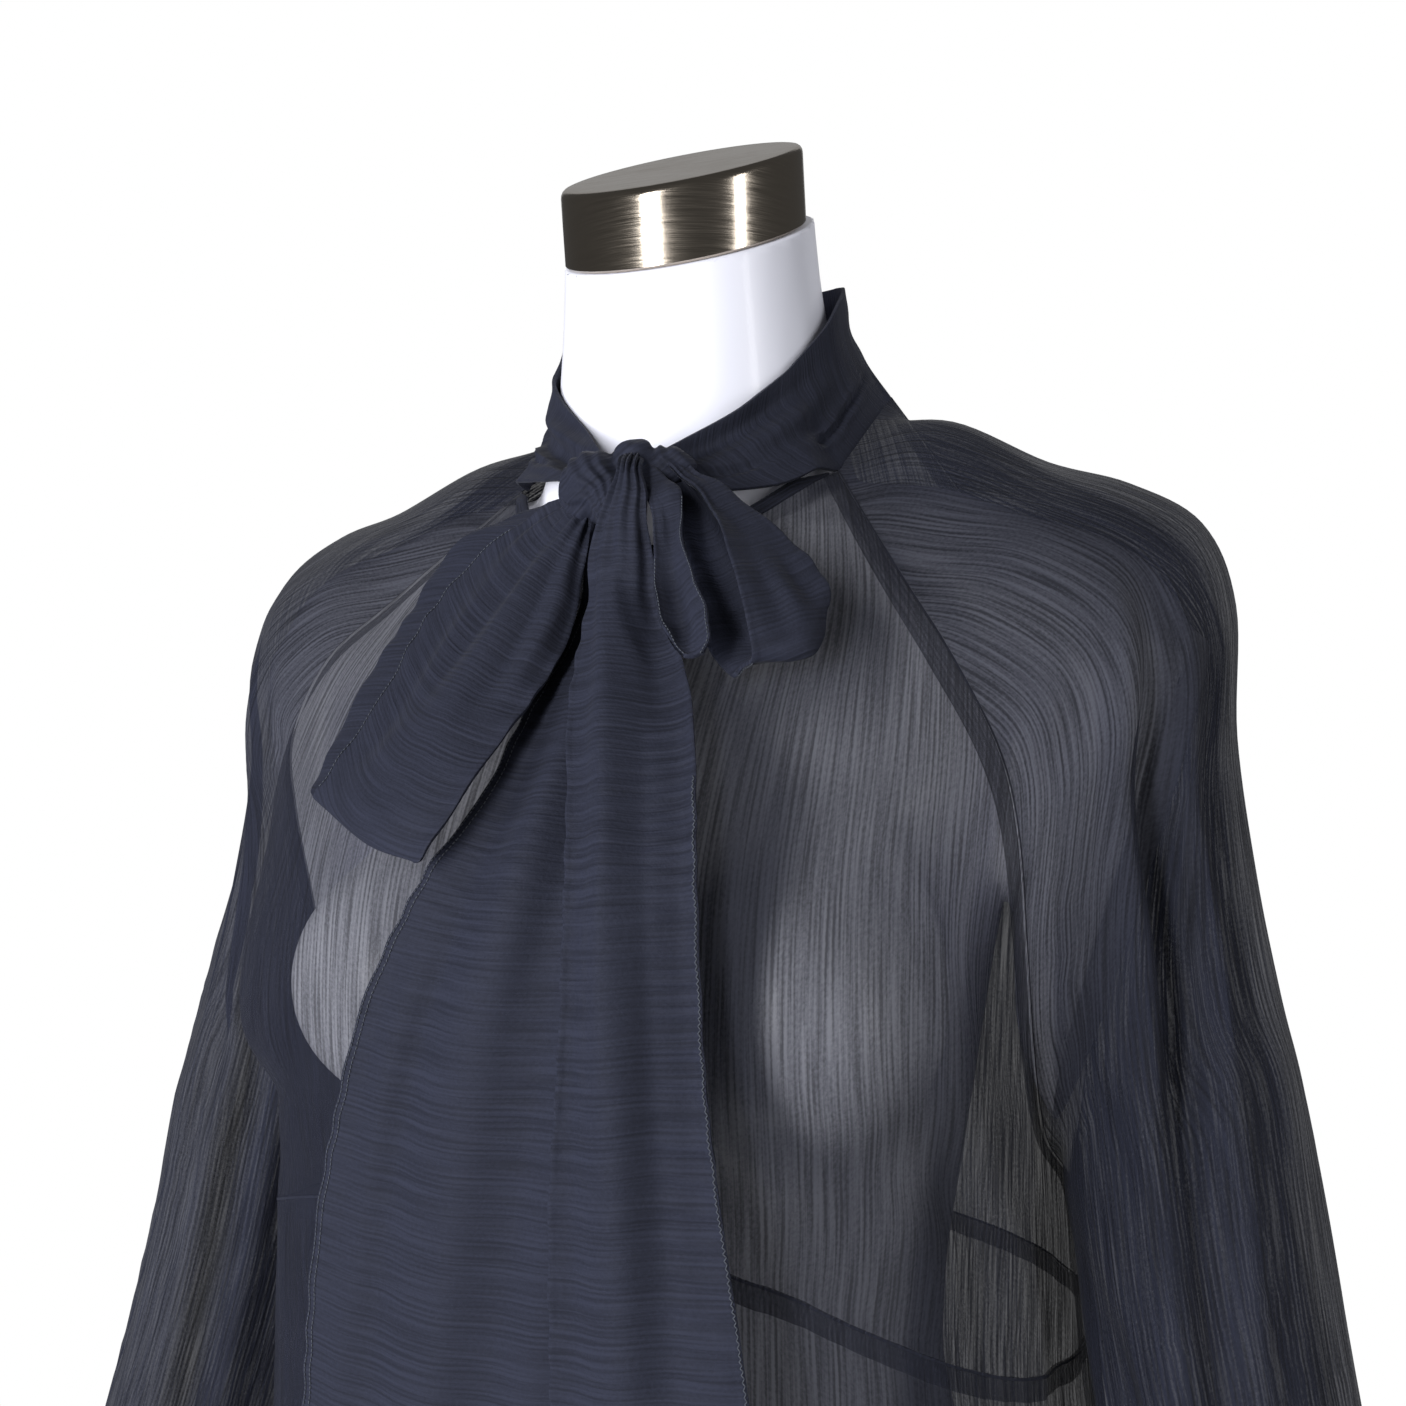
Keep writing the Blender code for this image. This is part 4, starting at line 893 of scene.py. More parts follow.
def ribbon_rows(guides, across, between):
    """A ribbon's grid: a soft line across each section, then soft lines along between the sections."""
    sections = np.array([spline(row, (across, across)) for row in guides]) * MM
    columns = [spline(sections[:, c], [between] * (len(guides) - 1)) for c in range(sections.shape[1])]
    return np.array(columns).transpose(1, 0, 2)


def soft_rows(grid, count):
    """The grid with count steps for each one along its first axis, on soft lines through its points."""
    padded = np.concatenate([2 * grid[:1] - grid[1:2], grid, 2 * grid[-1:] - grid[-2:-1]])
    neighbours = (padded[k:len(padded) - 3 + k] for k in range(4))
    made = soft_between(*neighbours, (np.arange(count) / count)[:, None, None, None])
    return np.concatenate([made.transpose(1, 0, 2, 3).reshape(-1, *grid.shape[1:]), grid[-1:]])


def refine(grid, steps):
    down, across = steps
    return soft_rows(soft_rows(grid, down).transpose(1, 0, 2), across).transpose(1, 0, 2)


def grid_normals(grid, flip):
    normal = np.cross(np.gradient(grid, axis=0), np.gradient(grid, axis=1))
    if flip:
        normal = -normal
    return normal / np.maximum(np.linalg.norm(normal, axis=2, keepdims=True), 1e-12)


def run_along(grid, axis):
    """Distance run along one axis of the grid, for each point."""
    steps = np.linalg.norm(np.diff(grid, axis=axis), axis=2)
    start = np.zeros_like(np.take(steps, [0], axis=axis))
    return np.concatenate([start, np.cumsum(steps, axis=axis)], axis=axis)


def at_place(grid, steps, row, column):
    """The point of a fine grid at a row and column of its table."""
    r = min(int(round(row * steps[0])), grid.shape[0] - 1)
    c = min(int(round(column * steps[1])), grid.shape[1] - 1)
    return grid[r, c]


def side_fade(grid, reach):
    """0 on the two side edges of a grid and 1 farther in than the reach."""
    run = run_along(grid, 1)
    share = np.clip(np.minimum(run, run[:, -1:] - run) / reach, 0.0, 1.0)
    return share * share * (3 - 2 * share)


def creased(grid, steps, creases, flip, fade):
    """Soft troughs and ridges pressed into a grid. Each dies out at its two ends."""
    normals = grid_normals(grid, flip)
    move = np.zeros(grid.shape[:2])
    for one in creases:
        guides = [at_place(grid, steps, row, column) for row, column in one.path]
        line = spline(guides, [CREASE_LINE_STEPS] * (len(guides) - 1))
        far = np.linalg.norm(grid[:, :, None] - line[None, None], axis=3)
        nearest = far.argmin(axis=2)
        distance = far.min(axis=2) / (one.width * MM)
        ends = np.sin(math.pi * (nearest + 1) / (len(line) + 1)) ** CREASE_ENDS
        profile = np.exp(-distance**2) - RIM_RISE * np.exp(-((distance - RIM_PLACE) / RIM_WIDTH) ** 2)
        move -= one.depth * MM * ends * profile
    return grid + normals * (move * fade)[:, :, None]


def rippled(grid, flip, wave, fade):
    """Uneven soft waves across a grid, as gathered cloth has."""
    pitch, depth, phase = wave
    run = run_along(grid, 1)
    drop = run_along(grid, 0)
    wander = 0.9 * np.sin(run / (pitch * 2.7) + phase) + 0.5 * np.sin(drop / (pitch * 3.1) + 2.0 * phase)
    swing = np.sin(2 * math.pi * run / pitch + wander)
    swing *= 0.7 + 0.3 * np.sin(run / (pitch * 1.7) + 3.0 * phase)
    return grid + grid_normals(grid, flip) * (swing * depth * fade)[:, :, None]


def eased_off(grid, skin, gap):
    """The grid with every point at least the gap outside the form."""
    made = grid.copy()
    flat = made.reshape(-1, 3)
    for i, point in enumerate(flat):
        place = Vector(point)
        distance = skin.find_nearest(place)[3]
        if distance < max(gap, NEAR_FORM):
            flat[i] += lift_off(place, skin, gap)
    return made


def finished(piece):
    """The piece as a plain mesh, with its modifiers used up."""
    bpy.context.view_layer.update()
    graph = bpy.context.evaluated_depsgraph_get()
    mesh = bpy.data.meshes.new_from_object(piece.evaluated_get(graph))
    mesh.name = piece.name
    piece.modifiers.clear()
    piece.data = mesh
    return piece


def new_object(name, data):
    made = bpy.data.objects.new(name, data)
    bpy.context.scene.collection.objects.link(made)
    return made


def skinned(piece, step, rounds):
    """The piece's overlapping volumes as one eased skin."""
    skin = piece.modifiers.new("Skin", "REMESH")
    skin.mode = "VOXEL"
    skin.voxel_size = step
    soft = piece.modifiers.new("Soften", "SMOOTH")
    soft.factor = 0.5
    soft.iterations = rounds
    finished(piece)


def settled(piece, nodes=()):
    """The finished piece tied to the frame: it rides on the one body and stands for its solids."""
    finished(piece)
    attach(piece, "root")
    if nodes:
        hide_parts(*nodes)
    return piece


def cloth_piece(name, grids, thickness, finish, flip=False, lines_across=False, laid=None, shade_cover=None,
                round_edge=0.0):
    """Cloth from one or more grids as one piece. Its UV map is in metres, measured on the smooth grids that
    it was laid out from, with U across the crinkles."""
    points, quads, places, shade_covers = [], [], [], []
    start = 0
    for number, grid in enumerate(grids):
        rows, columns = grid.shape[:2]
        index = start + np.arange(rows * columns).reshape(rows, columns)
        corners = [index[:-1, :-1], index[1:, :-1], index[1:, 1:], index[:-1, 1:]]
        found = np.stack(corners, axis=-1).reshape(-1, 4)
        quads.append(found[:, ::-1] if flip else found)
        smooth = grid if laid is None else laid[number]
        across = run_along(smooth, 1)
        across = across - across[:, [columns // 2]]
        along = run_along(smooth, 0)
        pair = (along, across) if lines_across else (across, along)
        places.append(np.stack(pair, axis=-1).reshape(-1, 2))
        points.append(grid.reshape(-1, 3))
        shade_covers.append(np.zeros(rows * columns) if shade_cover is None else shade_cover[number].ravel())
        start += rows * columns
    quads = np.concatenate(quads)
    mesh = bpy.data.meshes.new(name)
    mesh.from_pydata(np.concatenate(points).tolist(), [], quads.tolist())
    mesh.materials.append(finish)
    layer = mesh.uv_layers.new(name="cloth")
    layer.data.foreach_set("uv", np.concatenate(places)[quads.ravel()].astype(np.float32).ravel())
    # Extra cover as a point attribute: painted shade, zero where none is given.
    shade_cover_layer = mesh.attributes.new("shade_cover", "FLOAT", "POINT")
    shade_cover_layer.data.foreach_set("value", np.concatenate(shade_covers).astype(np.float32))
    shape = bmesh.new()
    shape.from_mesh(mesh)
    bmesh.ops.remove_doubles(shape, verts=shape.verts, dist=1e-5)
    shape.to_mesh(mesh)
    shape.free()
    mesh.shade_smooth()
    piece = new_object(name, mesh)
    if thickness:
        wall = piece.modifiers.new("Cloth", "SOLIDIFY")
        wall.thickness = thickness
        wall.offset = -1.0
        wall.use_even_offset = False
    if round_edge:
        rounded = piece.modifiers.new("Edge", "BEVEL")
        rounded.width = round_edge
        rounded.segments = 2
        rounded.limit_method = "ANGLE"
        rounded.angle_limit = math.radians(60.0)
    return piece


def fill_in(made, inputs):
    """Link or set a node's inputs, by socket."""
    for socket, value in inputs.items():
        if isinstance(value, bpy.types.NodeSocket):
            made.id_data.links.new(value, made.inputs[socket])
        else:
            made.inputs[socket].default_value = value


def node(tree, kind, inputs=None, **settings):
    made = tree.nodes.new(kind)
    for key, value in settings.items():
        setattr(made, key, value)
    fill_in(made, inputs or {})
    return made


def fresh_material(name):
    made = bpy.data.materials.new(name)
    made.use_nodes = True
    tree = made.node_tree
    return made, tree, tree.nodes["Principled BSDF"]


def scaled(tree, source, size):
    return node(tree, "ShaderNodeVectorMath", {0: source, 1: size}, operation="MULTIPLY").outputs[0]


def blend_range(tree, value, low, high, new_low, new_high):
    """The value's range moved to a new range."""
    sockets = {"Value": value, "From Min": low, "From Max": high, "To Min": new_low, "To Max": new_high}
    return node(tree, "ShaderNodeMapRange", sockets).outputs[0]


def noise_at(tree, vector, scale, detail=2.0, roughness=0.5):
    """Noise on a vector that is stretched by the scale, one number or one for each of X, Y and Z."""
    size = scale if isinstance(scale, tuple) else (scale,) * 3
    sockets = {"Vector": scaled(tree, vector, size), "Scale": 1.0, "Detail": detail, "Roughness": roughness}
    return node(tree, "ShaderNodeTexNoise", sockets).outputs[0]


def shades(tree, share, colour, darker, lighter):
    """A colour made darker to lighter by the share."""
    ends = [(*(c * factor for c in colour), 1.0) for factor in (darker, lighter)]
    return node(tree, "ShaderNodeMix", {0: share, 6: ends[0], 7: ends[1]}, data_type="RGBA").outputs[2]


def bumped(tree, height, strength, distance):
    sockets = {"Height": height, "Strength": strength, "Distance": distance}
    return node(tree, "ShaderNodeBump", sockets).outputs[0]


def math_node(tree, operation, first, second=0.0):
    return node(tree, "ShaderNodeMath", {0: first, 1: second}, operation=operation).outputs[0]


def chiffon(name, settings, opacity, contrast, depth, lift=1.0, spread=0.45):
    """Crinkled chiffon. Fine uneven ridges run along V, and thin and thick threads let more or less show. The
    colour is painted shade and highlight: darker in the ridges' troughs and lighter on their tops, by the
    spread.
    """
    made, tree, shader = fresh_material(name)
    uv = node(tree, "ShaderNodeUVMap", uv_map="cloth").outputs[0]
    pitch = settings.crinkle_pitch
    slow = noise_at(tree, uv, (55.0, 14.0, 1.0), 1.0)
    sideways = blend_range(tree, slow, 0.0, 1.0, -RIDGE_WANDER, RIDGE_WANDER)
    drift = node(tree, "ShaderNodeCombineXYZ", {"X": sideways}).outputs[0]
    bent = node(tree, "ShaderNodeVectorMath", {0: uv, 1: drift}, operation="ADD").outputs[0]
    lines = noise_at(tree, bent, (1.0 / pitch, 1.0 / (pitch * RIDGE_LENGTH), 1.0), 1.0)
    across = node(tree, "ShaderNodeSeparateXYZ", {0: bent}).outputs["X"]
    turns = math_node(tree, "MULTIPLY", across, 2.0 * math.pi / (pitch * WAVE_PITCH))
    waves = math_node(tree, "MULTIPLY", math_node(tree, "SINE", turns), WAVE_SHARE)
    grain = noise_at(tree, uv, (1.1 / pitch, 0.8 / pitch, 1.0), 2.0, 0.7)
    uneven = math_node(tree, "ADD", waves, math_node(tree, "MULTIPLY", grain, GRAIN_SHARE))
    height = math_node(tree, "ADD", lines, uneven)
    # Painted shade and highlight: the colour follows the ridge height, darker in the troughs and lighter on
    # the tops.
    ridge_shade = blend_range(tree, height, RIDGE_LOW, RIDGE_HIGH, 0.0, 1.0)
    fill_in(shader, {
        "Base Color": shades(tree, ridge_shade, settings.colour, (1.0 - spread) * lift, (1.0 + spread) * lift),
        "Roughness": 0.75,
        "Sheen Weight": 0.05,
        "Sheen Roughness": 0.4,
        "Specular IOR Level": 0.2,
        "Normal": bumped(tree, height, 1.0, depth),
    })
    if opacity < 1.0:
        threads = blend_range(tree, height, RIDGE_LOW, RIDGE_HIGH, opacity + contrast, opacity - contrast)
        # Painted shade: the point attribute adds opacity where shade is drawn in as denser cloth.
        shade_cover = node(tree, "ShaderNodeAttribute", attribute_name="shade_cover").outputs["Fac"]
        alpha = node(tree, "ShaderNodeMath", {0: threads, 1: shade_cover}, operation="ADD", use_clamp=True)
        fill_in(shader, {"Alpha": alpha.outputs[0]})
    return made


def thread_finish(name, colour):
    made, tree, shader = fresh_material(name)
    spot = node(tree, "ShaderNodeTexCoord").outputs["Object"]
    twist = noise_at(tree, spot, 2400.0)
    fill_in(shader, {"Base Color": shades(tree, twist, colour, 0.7, 1.25), "Roughness": 0.6})
    return made


def gloss_finish(settings):
    """Glossy moulded shell: clean white with faint cloudiness in its polish."""
    made, tree, shader = fresh_material("gloss_white_shell")
    spot = node(tree, "ShaderNodeTexCoord").outputs["Object"]
    clouds = noise_at(tree, spot, 9.0, 3.0)
    fill_in(shader, {
        "Base Color": shades(tree, clouds, settings.colour, 0.97, 1.0),
        "Roughness": blend_range(tree, clouds, 0.3, 0.7, 0.30, 0.42),
        "Coat Weight": 0.12,
        "Coat Roughness": 0.06,
        "Normal": bumped(tree, noise_at(tree, spot, 260.0), 0.4, 0.00005),
    })
    return made


def brushed_finish(name, metal):
    """Brushed metal, with scratches that are stretched one way."""
    colour, spread, brushing, roughness = metal
    made, tree, shader = fresh_material(name)
    spot = node(tree, "ShaderNodeTexCoord").outputs["Object"]
    scratches = noise_at(tree, spot, brushing, 3.0, 0.6)
    stains = noise_at(tree, spot, 28.0, 3.0)
    worn = math_node(tree, "ADD", blend_range(tree, scratches, 0.3, 0.7, roughness - 0.05, roughness + 0.07),
                     blend_range(tree, stains, 0.3, 0.7, -0.03, 0.03))
    fill_in(shader, {
        "Base Color": shades(tree, scratches, colour, 1.0 - spread, 1.0 + spread),
        "Metallic": 1.0,
        "Roughness": worn,
        "Normal": bumped(tree, scratches, 0.5, 0.00004),
    })
    return made


def floor_finish():
    """A pale floor that fades out into the background away from the stand."""
    made, tree, shader = fresh_material("pale_floor")
    spot = node(tree, "ShaderNodeTexCoord").outputs["Object"]
    away = node(tree, "ShaderNodeVectorMath", {0: spot}, operation="LENGTH").outputs["Value"]
    clouds = noise_at(tree, spot, 6.0, 3.0)
    pale = {0: clouds, 6: (0.83, 0.83, 0.84, 1.0), 7: (0.88, 0.88, 0.88, 1.0)}
    fill_in(shader, {
        "Base Color": node(tree, "ShaderNodeMix", pale, data_type="RGBA").outputs[2],
        "Alpha": blend_range(tree, away, 0.7, 1.7, 1.0, 0.0),
        "Roughness": 0.7,
    })
    return made


def stitch_row(name, path, line, thread, settings):
    """A row of short threads set along a path by a node tree, made into a plain mesh."""
    run = line_run(path)
    count = max(int(run[-1] / (line.pitch * MM)), 2)
    spots = np.stack([np.interp(np.linspace(0.0, run[-1], count), run, path[:, k]) for k in range(3)], axis=1)
    heading = np.gradient(spots, axis=0)
    heading /= np.linalg.norm(heading, axis=1)[:, None]
    if line.zigzag:
        side = np.cross(heading, (0.0, 1.0, 0.0))
        sign = np.where(np.arange(count) % 2 == 0, 1.0, -1.0)[:, None]
        heading = heading + side * sign * line.zigzag
        heading /= np.linalg.norm(heading, axis=1)[:, None]
    mesh = bpy.data.meshes.new(name)
    mesh.from_pydata(spots.tolist(), [], [])
    way = mesh.attributes.new("heading", "FLOAT_VECTOR", "POINT")
    way.data.foreach_set("vector", heading.astype(np.float32).ravel())
    piece = new_object(name, mesh)
    tree = bpy.data.node_groups.new(name, "GeometryNodeTree")
    tree.is_modifier = True
    face = tree.interface
    face.new_socket(name="Points", in_out="INPUT", socket_type="NodeSocketGeometry")
    length = face.new_socket(name="Stitch length", in_out="INPUT", socket_type="NodeSocketFloat")
    radius = face.new_socket(name="Thread radius", in_out="INPUT", socket_type="NodeSocketFloat")
    finish = face.new_socket(name="Thread finish", in_out="INPUT", socket_type="NodeSocketMaterial")
    face.new_socket(name="Stitches", in_out="OUTPUT", socket_type="NodeSocketGeometry")
    given = tree.nodes.new("NodeGroupInput").outputs
    thread_shape = {"Vertices": 6, "Radius": given["Thread radius"], "Depth": given["Stitch length"]}
    tube = node(tree, "GeometryNodeMeshCylinder", thread_shape).outputs[0]
    way = node(tree, "GeometryNodeInputNamedAttribute", {"Name": "heading"}, data_type="FLOAT_VECTOR")
    spread = {0: (-THREAD_SLANT,) * 3, 1: (THREAD_SLANT,) * 3, "Seed": 7}
    jitter = node(tree, "FunctionNodeRandomValue", spread, data_type="FLOAT_VECTOR").outputs[0]
    slants = {0: way.outputs["Attribute"], 1: jitter}
    uneven = node(tree, "ShaderNodeVectorMath", slants, operation="ADD").outputs[0]
    turn = node(tree, "FunctionNodeAlignRotationToVector", {"Vector": uneven}, axis="Z").outputs[0]
    threads = {"Points": given["Points"], "Instance": tube, "Rotation": turn}
    laid = node(tree, "GeometryNodeInstanceOnPoints", threads).outputs[0]
    real = node(tree, "GeometryNodeRealizeInstances", {0: laid}).outputs[0]
    dyed = {"Geometry": real, "Material": given["Thread finish"]}
    node(tree, "NodeGroupOutput", {0: node(tree, "GeometryNodeSetMaterial", dyed).outputs[0]})
    repeat = piece.modifiers.new("Stitches", "NODES")
    repeat.node_group = tree
    repeat[length.identifier] = line.length * MM
    repeat[radius.identifier] = settings.thread_radius
    repeat[finish.identifier] = thread
    settled(piece)
    piece.data.shade_smooth()
    return piece


def colour_setting(name, description, default):
    return FloatVectorProperty(name=name, description=description, subtype="COLOR", size=3, default=default)


def length_setting(name, description, default):
    return FloatProperty(name=name, description=description, unit="LENGTH", default=default)


def share_setting(name, description, default):
    return FloatProperty(name=name, description=description, subtype="FACTOR", default=default)


def number_setting(name, description, default):
    return FloatProperty(name=name, description=description, default=default)


class ClothSettings(bpy.types.PropertyGroup):
    colour: colour_setting("Cloth colour", "Linear colour of the chiffon", (0.0150, 0.0170, 0.0290))
    thread_colour: colour_setting("Thread colour", "Linear colour of the stitching", (0.055, 0.062, 0.080))
    opacity: share_setting("Opacity", "How much one layer of the body covers", 0.64)
    sleeve_opacity: share_setting("Sleeve opacity", "How much one layer of a sleeve covers", 0.825)
    contrast: share_setting("Thread contrast", "How much the cover changes from thread to thread", 0.17)
    crinkle_pitch: length_setting("Crinkle pitch", "Distance between neighbouring crinkle ridges", 0.00115)
    crinkle_depth: length_setting("Crinkle depth", "Height of the crinkle ridges", 0.0006)
    thickness: length_setting("Cloth thickness", "Thickness of one layer as drawn", 0.0005)
    tie_thickness: length_setting("Tie thickness", "Thickness of the doubled tie as drawn", 0.0015)
    thread_radius: length_setting("Thread radius", "Half the thickness of the edge thread", 0.00020)
    allowance: length_setting("Seam allowance", "Width of the turnings inside the seams", 0.010)


class FormSettings(bpy.types.PropertyGroup):
    colour: colour_setting("Shell colour", "Linear colour of the glossy shell", (0.82, 0.83, 0.93))
    voxel: length_setting("Skin step", "Edge length of the form's skin", 0.0045)
    smoothing: number_setting("Smoothing", "How far the skin is eased", 12.0)
    bust_smoothing: number_setting("Bust smoothing", "How far the bust is blended in", 240.0)


class StageSettings(bpy.types.PropertyGroup):
    lens: number_setting("Lens", "Focal length in millimetres on a 36 mm wide sensor", 41.99)
    turn: FloatProperty(name="Turn", description="How far round to the left of the chest the camera stands",
                        subtype="ANGLE", default=math.radians(24.5))
    distance: length_setting("Distance", "From the camera to the pole's axis", 0.680)
    sideways: length_setting("Sideways", "Offset of the view to its right", 0.003)
    eye_height: length_setting("Eye height", "Height of the camera", 1.382)
    background: number_setting("Background", "Brightness of the background", 1.0)
    fill: number_setting("Fill light", "Brightness of the surrounding light", 0.13)


@lru_cache(maxsize=None)
def solid_skin():
    """The nearest-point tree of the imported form."""
    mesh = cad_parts["dress_form"].data
    shape = bmesh.new()
    shape.from_mesh(mesh)
    bmesh.ops.remove_doubles(shape, verts=shape.verts, dist=1e-6)
    tree = BVHTree.FromBMesh(shape)
    shape.free()
    return tree


@lru_cache(maxsize=None)
def smooth_skin():
    """The nearest-point tree of the smooth form that shows."""
    mesh = bpy.data.objects["form_shell"].data
    return BVHTree.FromPolygons([v.co for v in mesh.vertices], [tuple(p.vertices) for p in mesh.polygons])


@lru_cache(maxsize=None)
def table_grids():
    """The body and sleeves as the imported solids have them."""
    skin = solid_skin()
    gap = CLOTH + FORM_GAP
    front, seam = body_rows(True)
    back, _ = body_rows(False)
    front = keep_clear(front, skin, gap)
    back = keep_clear(back, skin, gap)
    grids = {"front": front, "back": back}
    for side, name in ((1, "left"), (-1, "right")):
        rows = keep_clear(sleeve_rows(side), skin, gap)
        rows[:len(STATIONS), 0] = front[:len(STATIONS), -1 if side > 0 else 0]
        rows[:len(STATIONS), -1] = back[:len(STATIONS), -1 if side > 0 else 0]
        grids[name] = rows
    return grids, seam


def along_edge(grid, edge, width, inset, flip, count=4):
    """A strip along one named edge of a grid, moved inwards: the turning inside a seam."""
    if edge in ("top", "bottom"):
        side = "left" if edge == "top" else "right"
        turned = along_edge(grid.transpose(1, 0, 2), side, width, inset, not flip, count)
        return turned.transpose(1, 0, 2)
    line = grid if edge == "left" else grid[:, ::-1]
    normals = grid_normals(grid, flip)
    normals = normals if edge == "left" else normals[:, ::-1]
    run = run_along(line, 1)
    strip = np.zeros((grid.shape[0], count, 3))
    for r in range(grid.shape[0]):
        for k, wanted in enumerate(np.linspace(FACE_GAP, width, count)):
            for axis in range(3):
                strip[r, k, axis] = np.interp(wanted, run[r], line[r, :, axis] - normals[r, :, axis] * inset)
    return strip if edge == "left" else strip[:, ::-1]


class BLOUSE_OT_form(bpy.types.Operator):
    """Smooth glossy form with its cap, pole and base"""
    bl_idname = "blouse.form"
    bl_label = "Form and stand"

    def execute(self, context):
        settings = context.scene.form_settings
        gloss = gloss_finish(settings)
        form = self.form_shell(settings, gloss)
        settled(form, ["dress_form"])
        nickel = brushed_finish("brushed_nickel_cap", NICKEL)
        settled(self.cap(nickel), ["neck_cap"])
        steel = brushed_finish("satin_steel_stand", STEEL)
        radius = POLE_DIAMETER / 2
        low, high = BASE_HEIGHT + FACE_GAP, FORM_BOTTOM - FACE_GAP
        pole = [(radius - 0.001, low), (radius, low + 0.001), (radius, high - 0.001), (radius - 0.001, high)]
        settled(self.turned("pole_tube", pole, 64, steel), ["stand_pole"])
        edge = BASE_DIAMETER / 2
        base = [(edge - 0.0012, 0.0), (edge, 0.0012), (edge, BASE_HEIGHT - 0.003)]
        base += self.rounded(edge, BASE_HEIGHT, 0.003, 0.003)
        base += [(edge - 0.012, BASE_HEIGHT), (0.060, BASE_HEIGHT), (0.020, BASE_HEIGHT)]
        settled(self.turned("base_disc", base, 160, steel), ["stand_base"])
        return {"FINISHED"}

    def form_shell(self, settings, finish):
        spheres = [(Vector((side * BUST_CENTRE.x, BUST_CENTRE.y, BUST_CENTRE.z)), BUST_RADIUS)
                   for side in (1, -1)]
        mesh = joined_mesh("form_shell", form_volumes(), spheres)
        piece = new_object("form_shell", mesh)
        skinned(piece, settings.voxel, int(settings.smoothing))
        shape = bmesh.new()
        shape.from_mesh(piece.data)
        bust = [v for v in shape.verts if v.co.y < BUST_FRONT and BUST_LOW < v.co.z < BUST_HIGH
                and abs(v.co.x) < BUST_HALF_WIDTH]
        for _ in range(int(settings.bust_smoothing)):
            bmesh.ops.smooth_vert(shape, verts=bust, factor=0.5, use_axis_x=True, use_axis_y=True,
                                  use_axis_z=True)
        slope = math.atan2(ARM_CUT_OUTER.x - ARM_CUT_TIP.x, ARM_CUT_OUTER.z - ARM_CUT_TIP.z)
        planes = [
            (CAP_BOTTOM, Vector((0.0, -math.sin(CAP_TILT), math.cos(CAP_TILT))), FORM_BOTTOM),
            (Vector((0.0, 0.0, FORM_BOTTOM)), Vector((0.0, 0.0, -1.0)), 0.0),
        ]
        for side in (1, -1):
            outer = Vector((side * ARM_CUT_OUTER.x, 0.0, ARM_CUT_OUTER.z))
            planes.append((outer, Vector((side * math.cos(slope), 0.0, -math.sin(slope))), ARM_CUT_LOWEST))
        for place, away, lowest in planes:
            cut = [v for v in shape.verts if v.co.z > lowest]
            cut += [part for part in shape.edges[:] + shape.faces[:]
                    if min(v.co.z for v in part.verts) > lowest]
            bmesh.ops.bisect_plane(shape, geom=cut, plane_co=place, plane_no=away, clear_outer=True)
            rim = [e for e in shape.edges if e.is_boundary]
            made = bmesh.ops.edgeloop_fill(shape, edges=rim)["faces"]
            rim = [e for face in made for e in face.edges]
            bmesh.ops.bevel(shape, geom=rim, offset=CUT_RIM, segments=2, profile=0.5, affect="EDGES")
        bmesh.ops.triangulate(shape, faces=[f for f in shape.faces if len(f.verts) > 4])
        shape.to_mesh(piece.data)
        shape.free()
        piece.data.materials.clear()
        piece.data.materials.append(finish)
        piece.data.shade_smooth()
        piece.data.set_sharp_from_angle(angle=math.radians(50.0))
        return piece

    def cap(self, finish):
        up = Vector((0.0, -math.sin(CAP_TILT), math.cos(CAP_TILT)))
        bottom = CAP_BOTTOM + up * FACE_GAP
        lean = (CAP_TOP - bottom) / (CAP_TOP - bottom).dot(up)
        height = (CAP_TOP - bottom).dot(up)
        profile = [(0.004, 0.0), (CAP_RADIUS - 0.0012, 0.0), (CAP_RADIUS, 0.0010),
                   (CAP_RADIUS, height - 0.0030)]
        profile += self.rounded(CAP_RADIUS, height, 0.0025, 0.0030)
        profile += [(CAP_RADIUS - 0.006, height), (0.030, height), (0.004, height)]
        rings = [tilted_circle(bottom + lean * along, radius, 160) for radius, along in profile]
        return self.lofted("cap_shell", rings, finish)

    def rounded(self, radius, height, inwards, down):
        """The eased upper edge of a round piece, from its side to its top."""
        return [(radius - inwards + inwards * math.cos(t), height - down + down * math.sin(t))
                for t in (0.4, 0.8, 1.2, math.pi / 2)]

    def turned(self, name, profile, count, finish):
        rings = [[(x, y, height) for x, y in circle(radius, count)] for radius, height in profile]
        return self.lofted(name, rings, finish)

    def lofted(self, name, rings, finish):
        points, faces = loft(rings)
        mesh = bpy.data.meshes.new(name)
        mesh.from_pydata([tuple(p) for p in points], [], faces)
        mesh.materials.append(finish)
        mesh.shade_smooth()
        mesh.set_sharp_from_angle(angle=math.radians(32.0))
        return new_object(name, mesh)


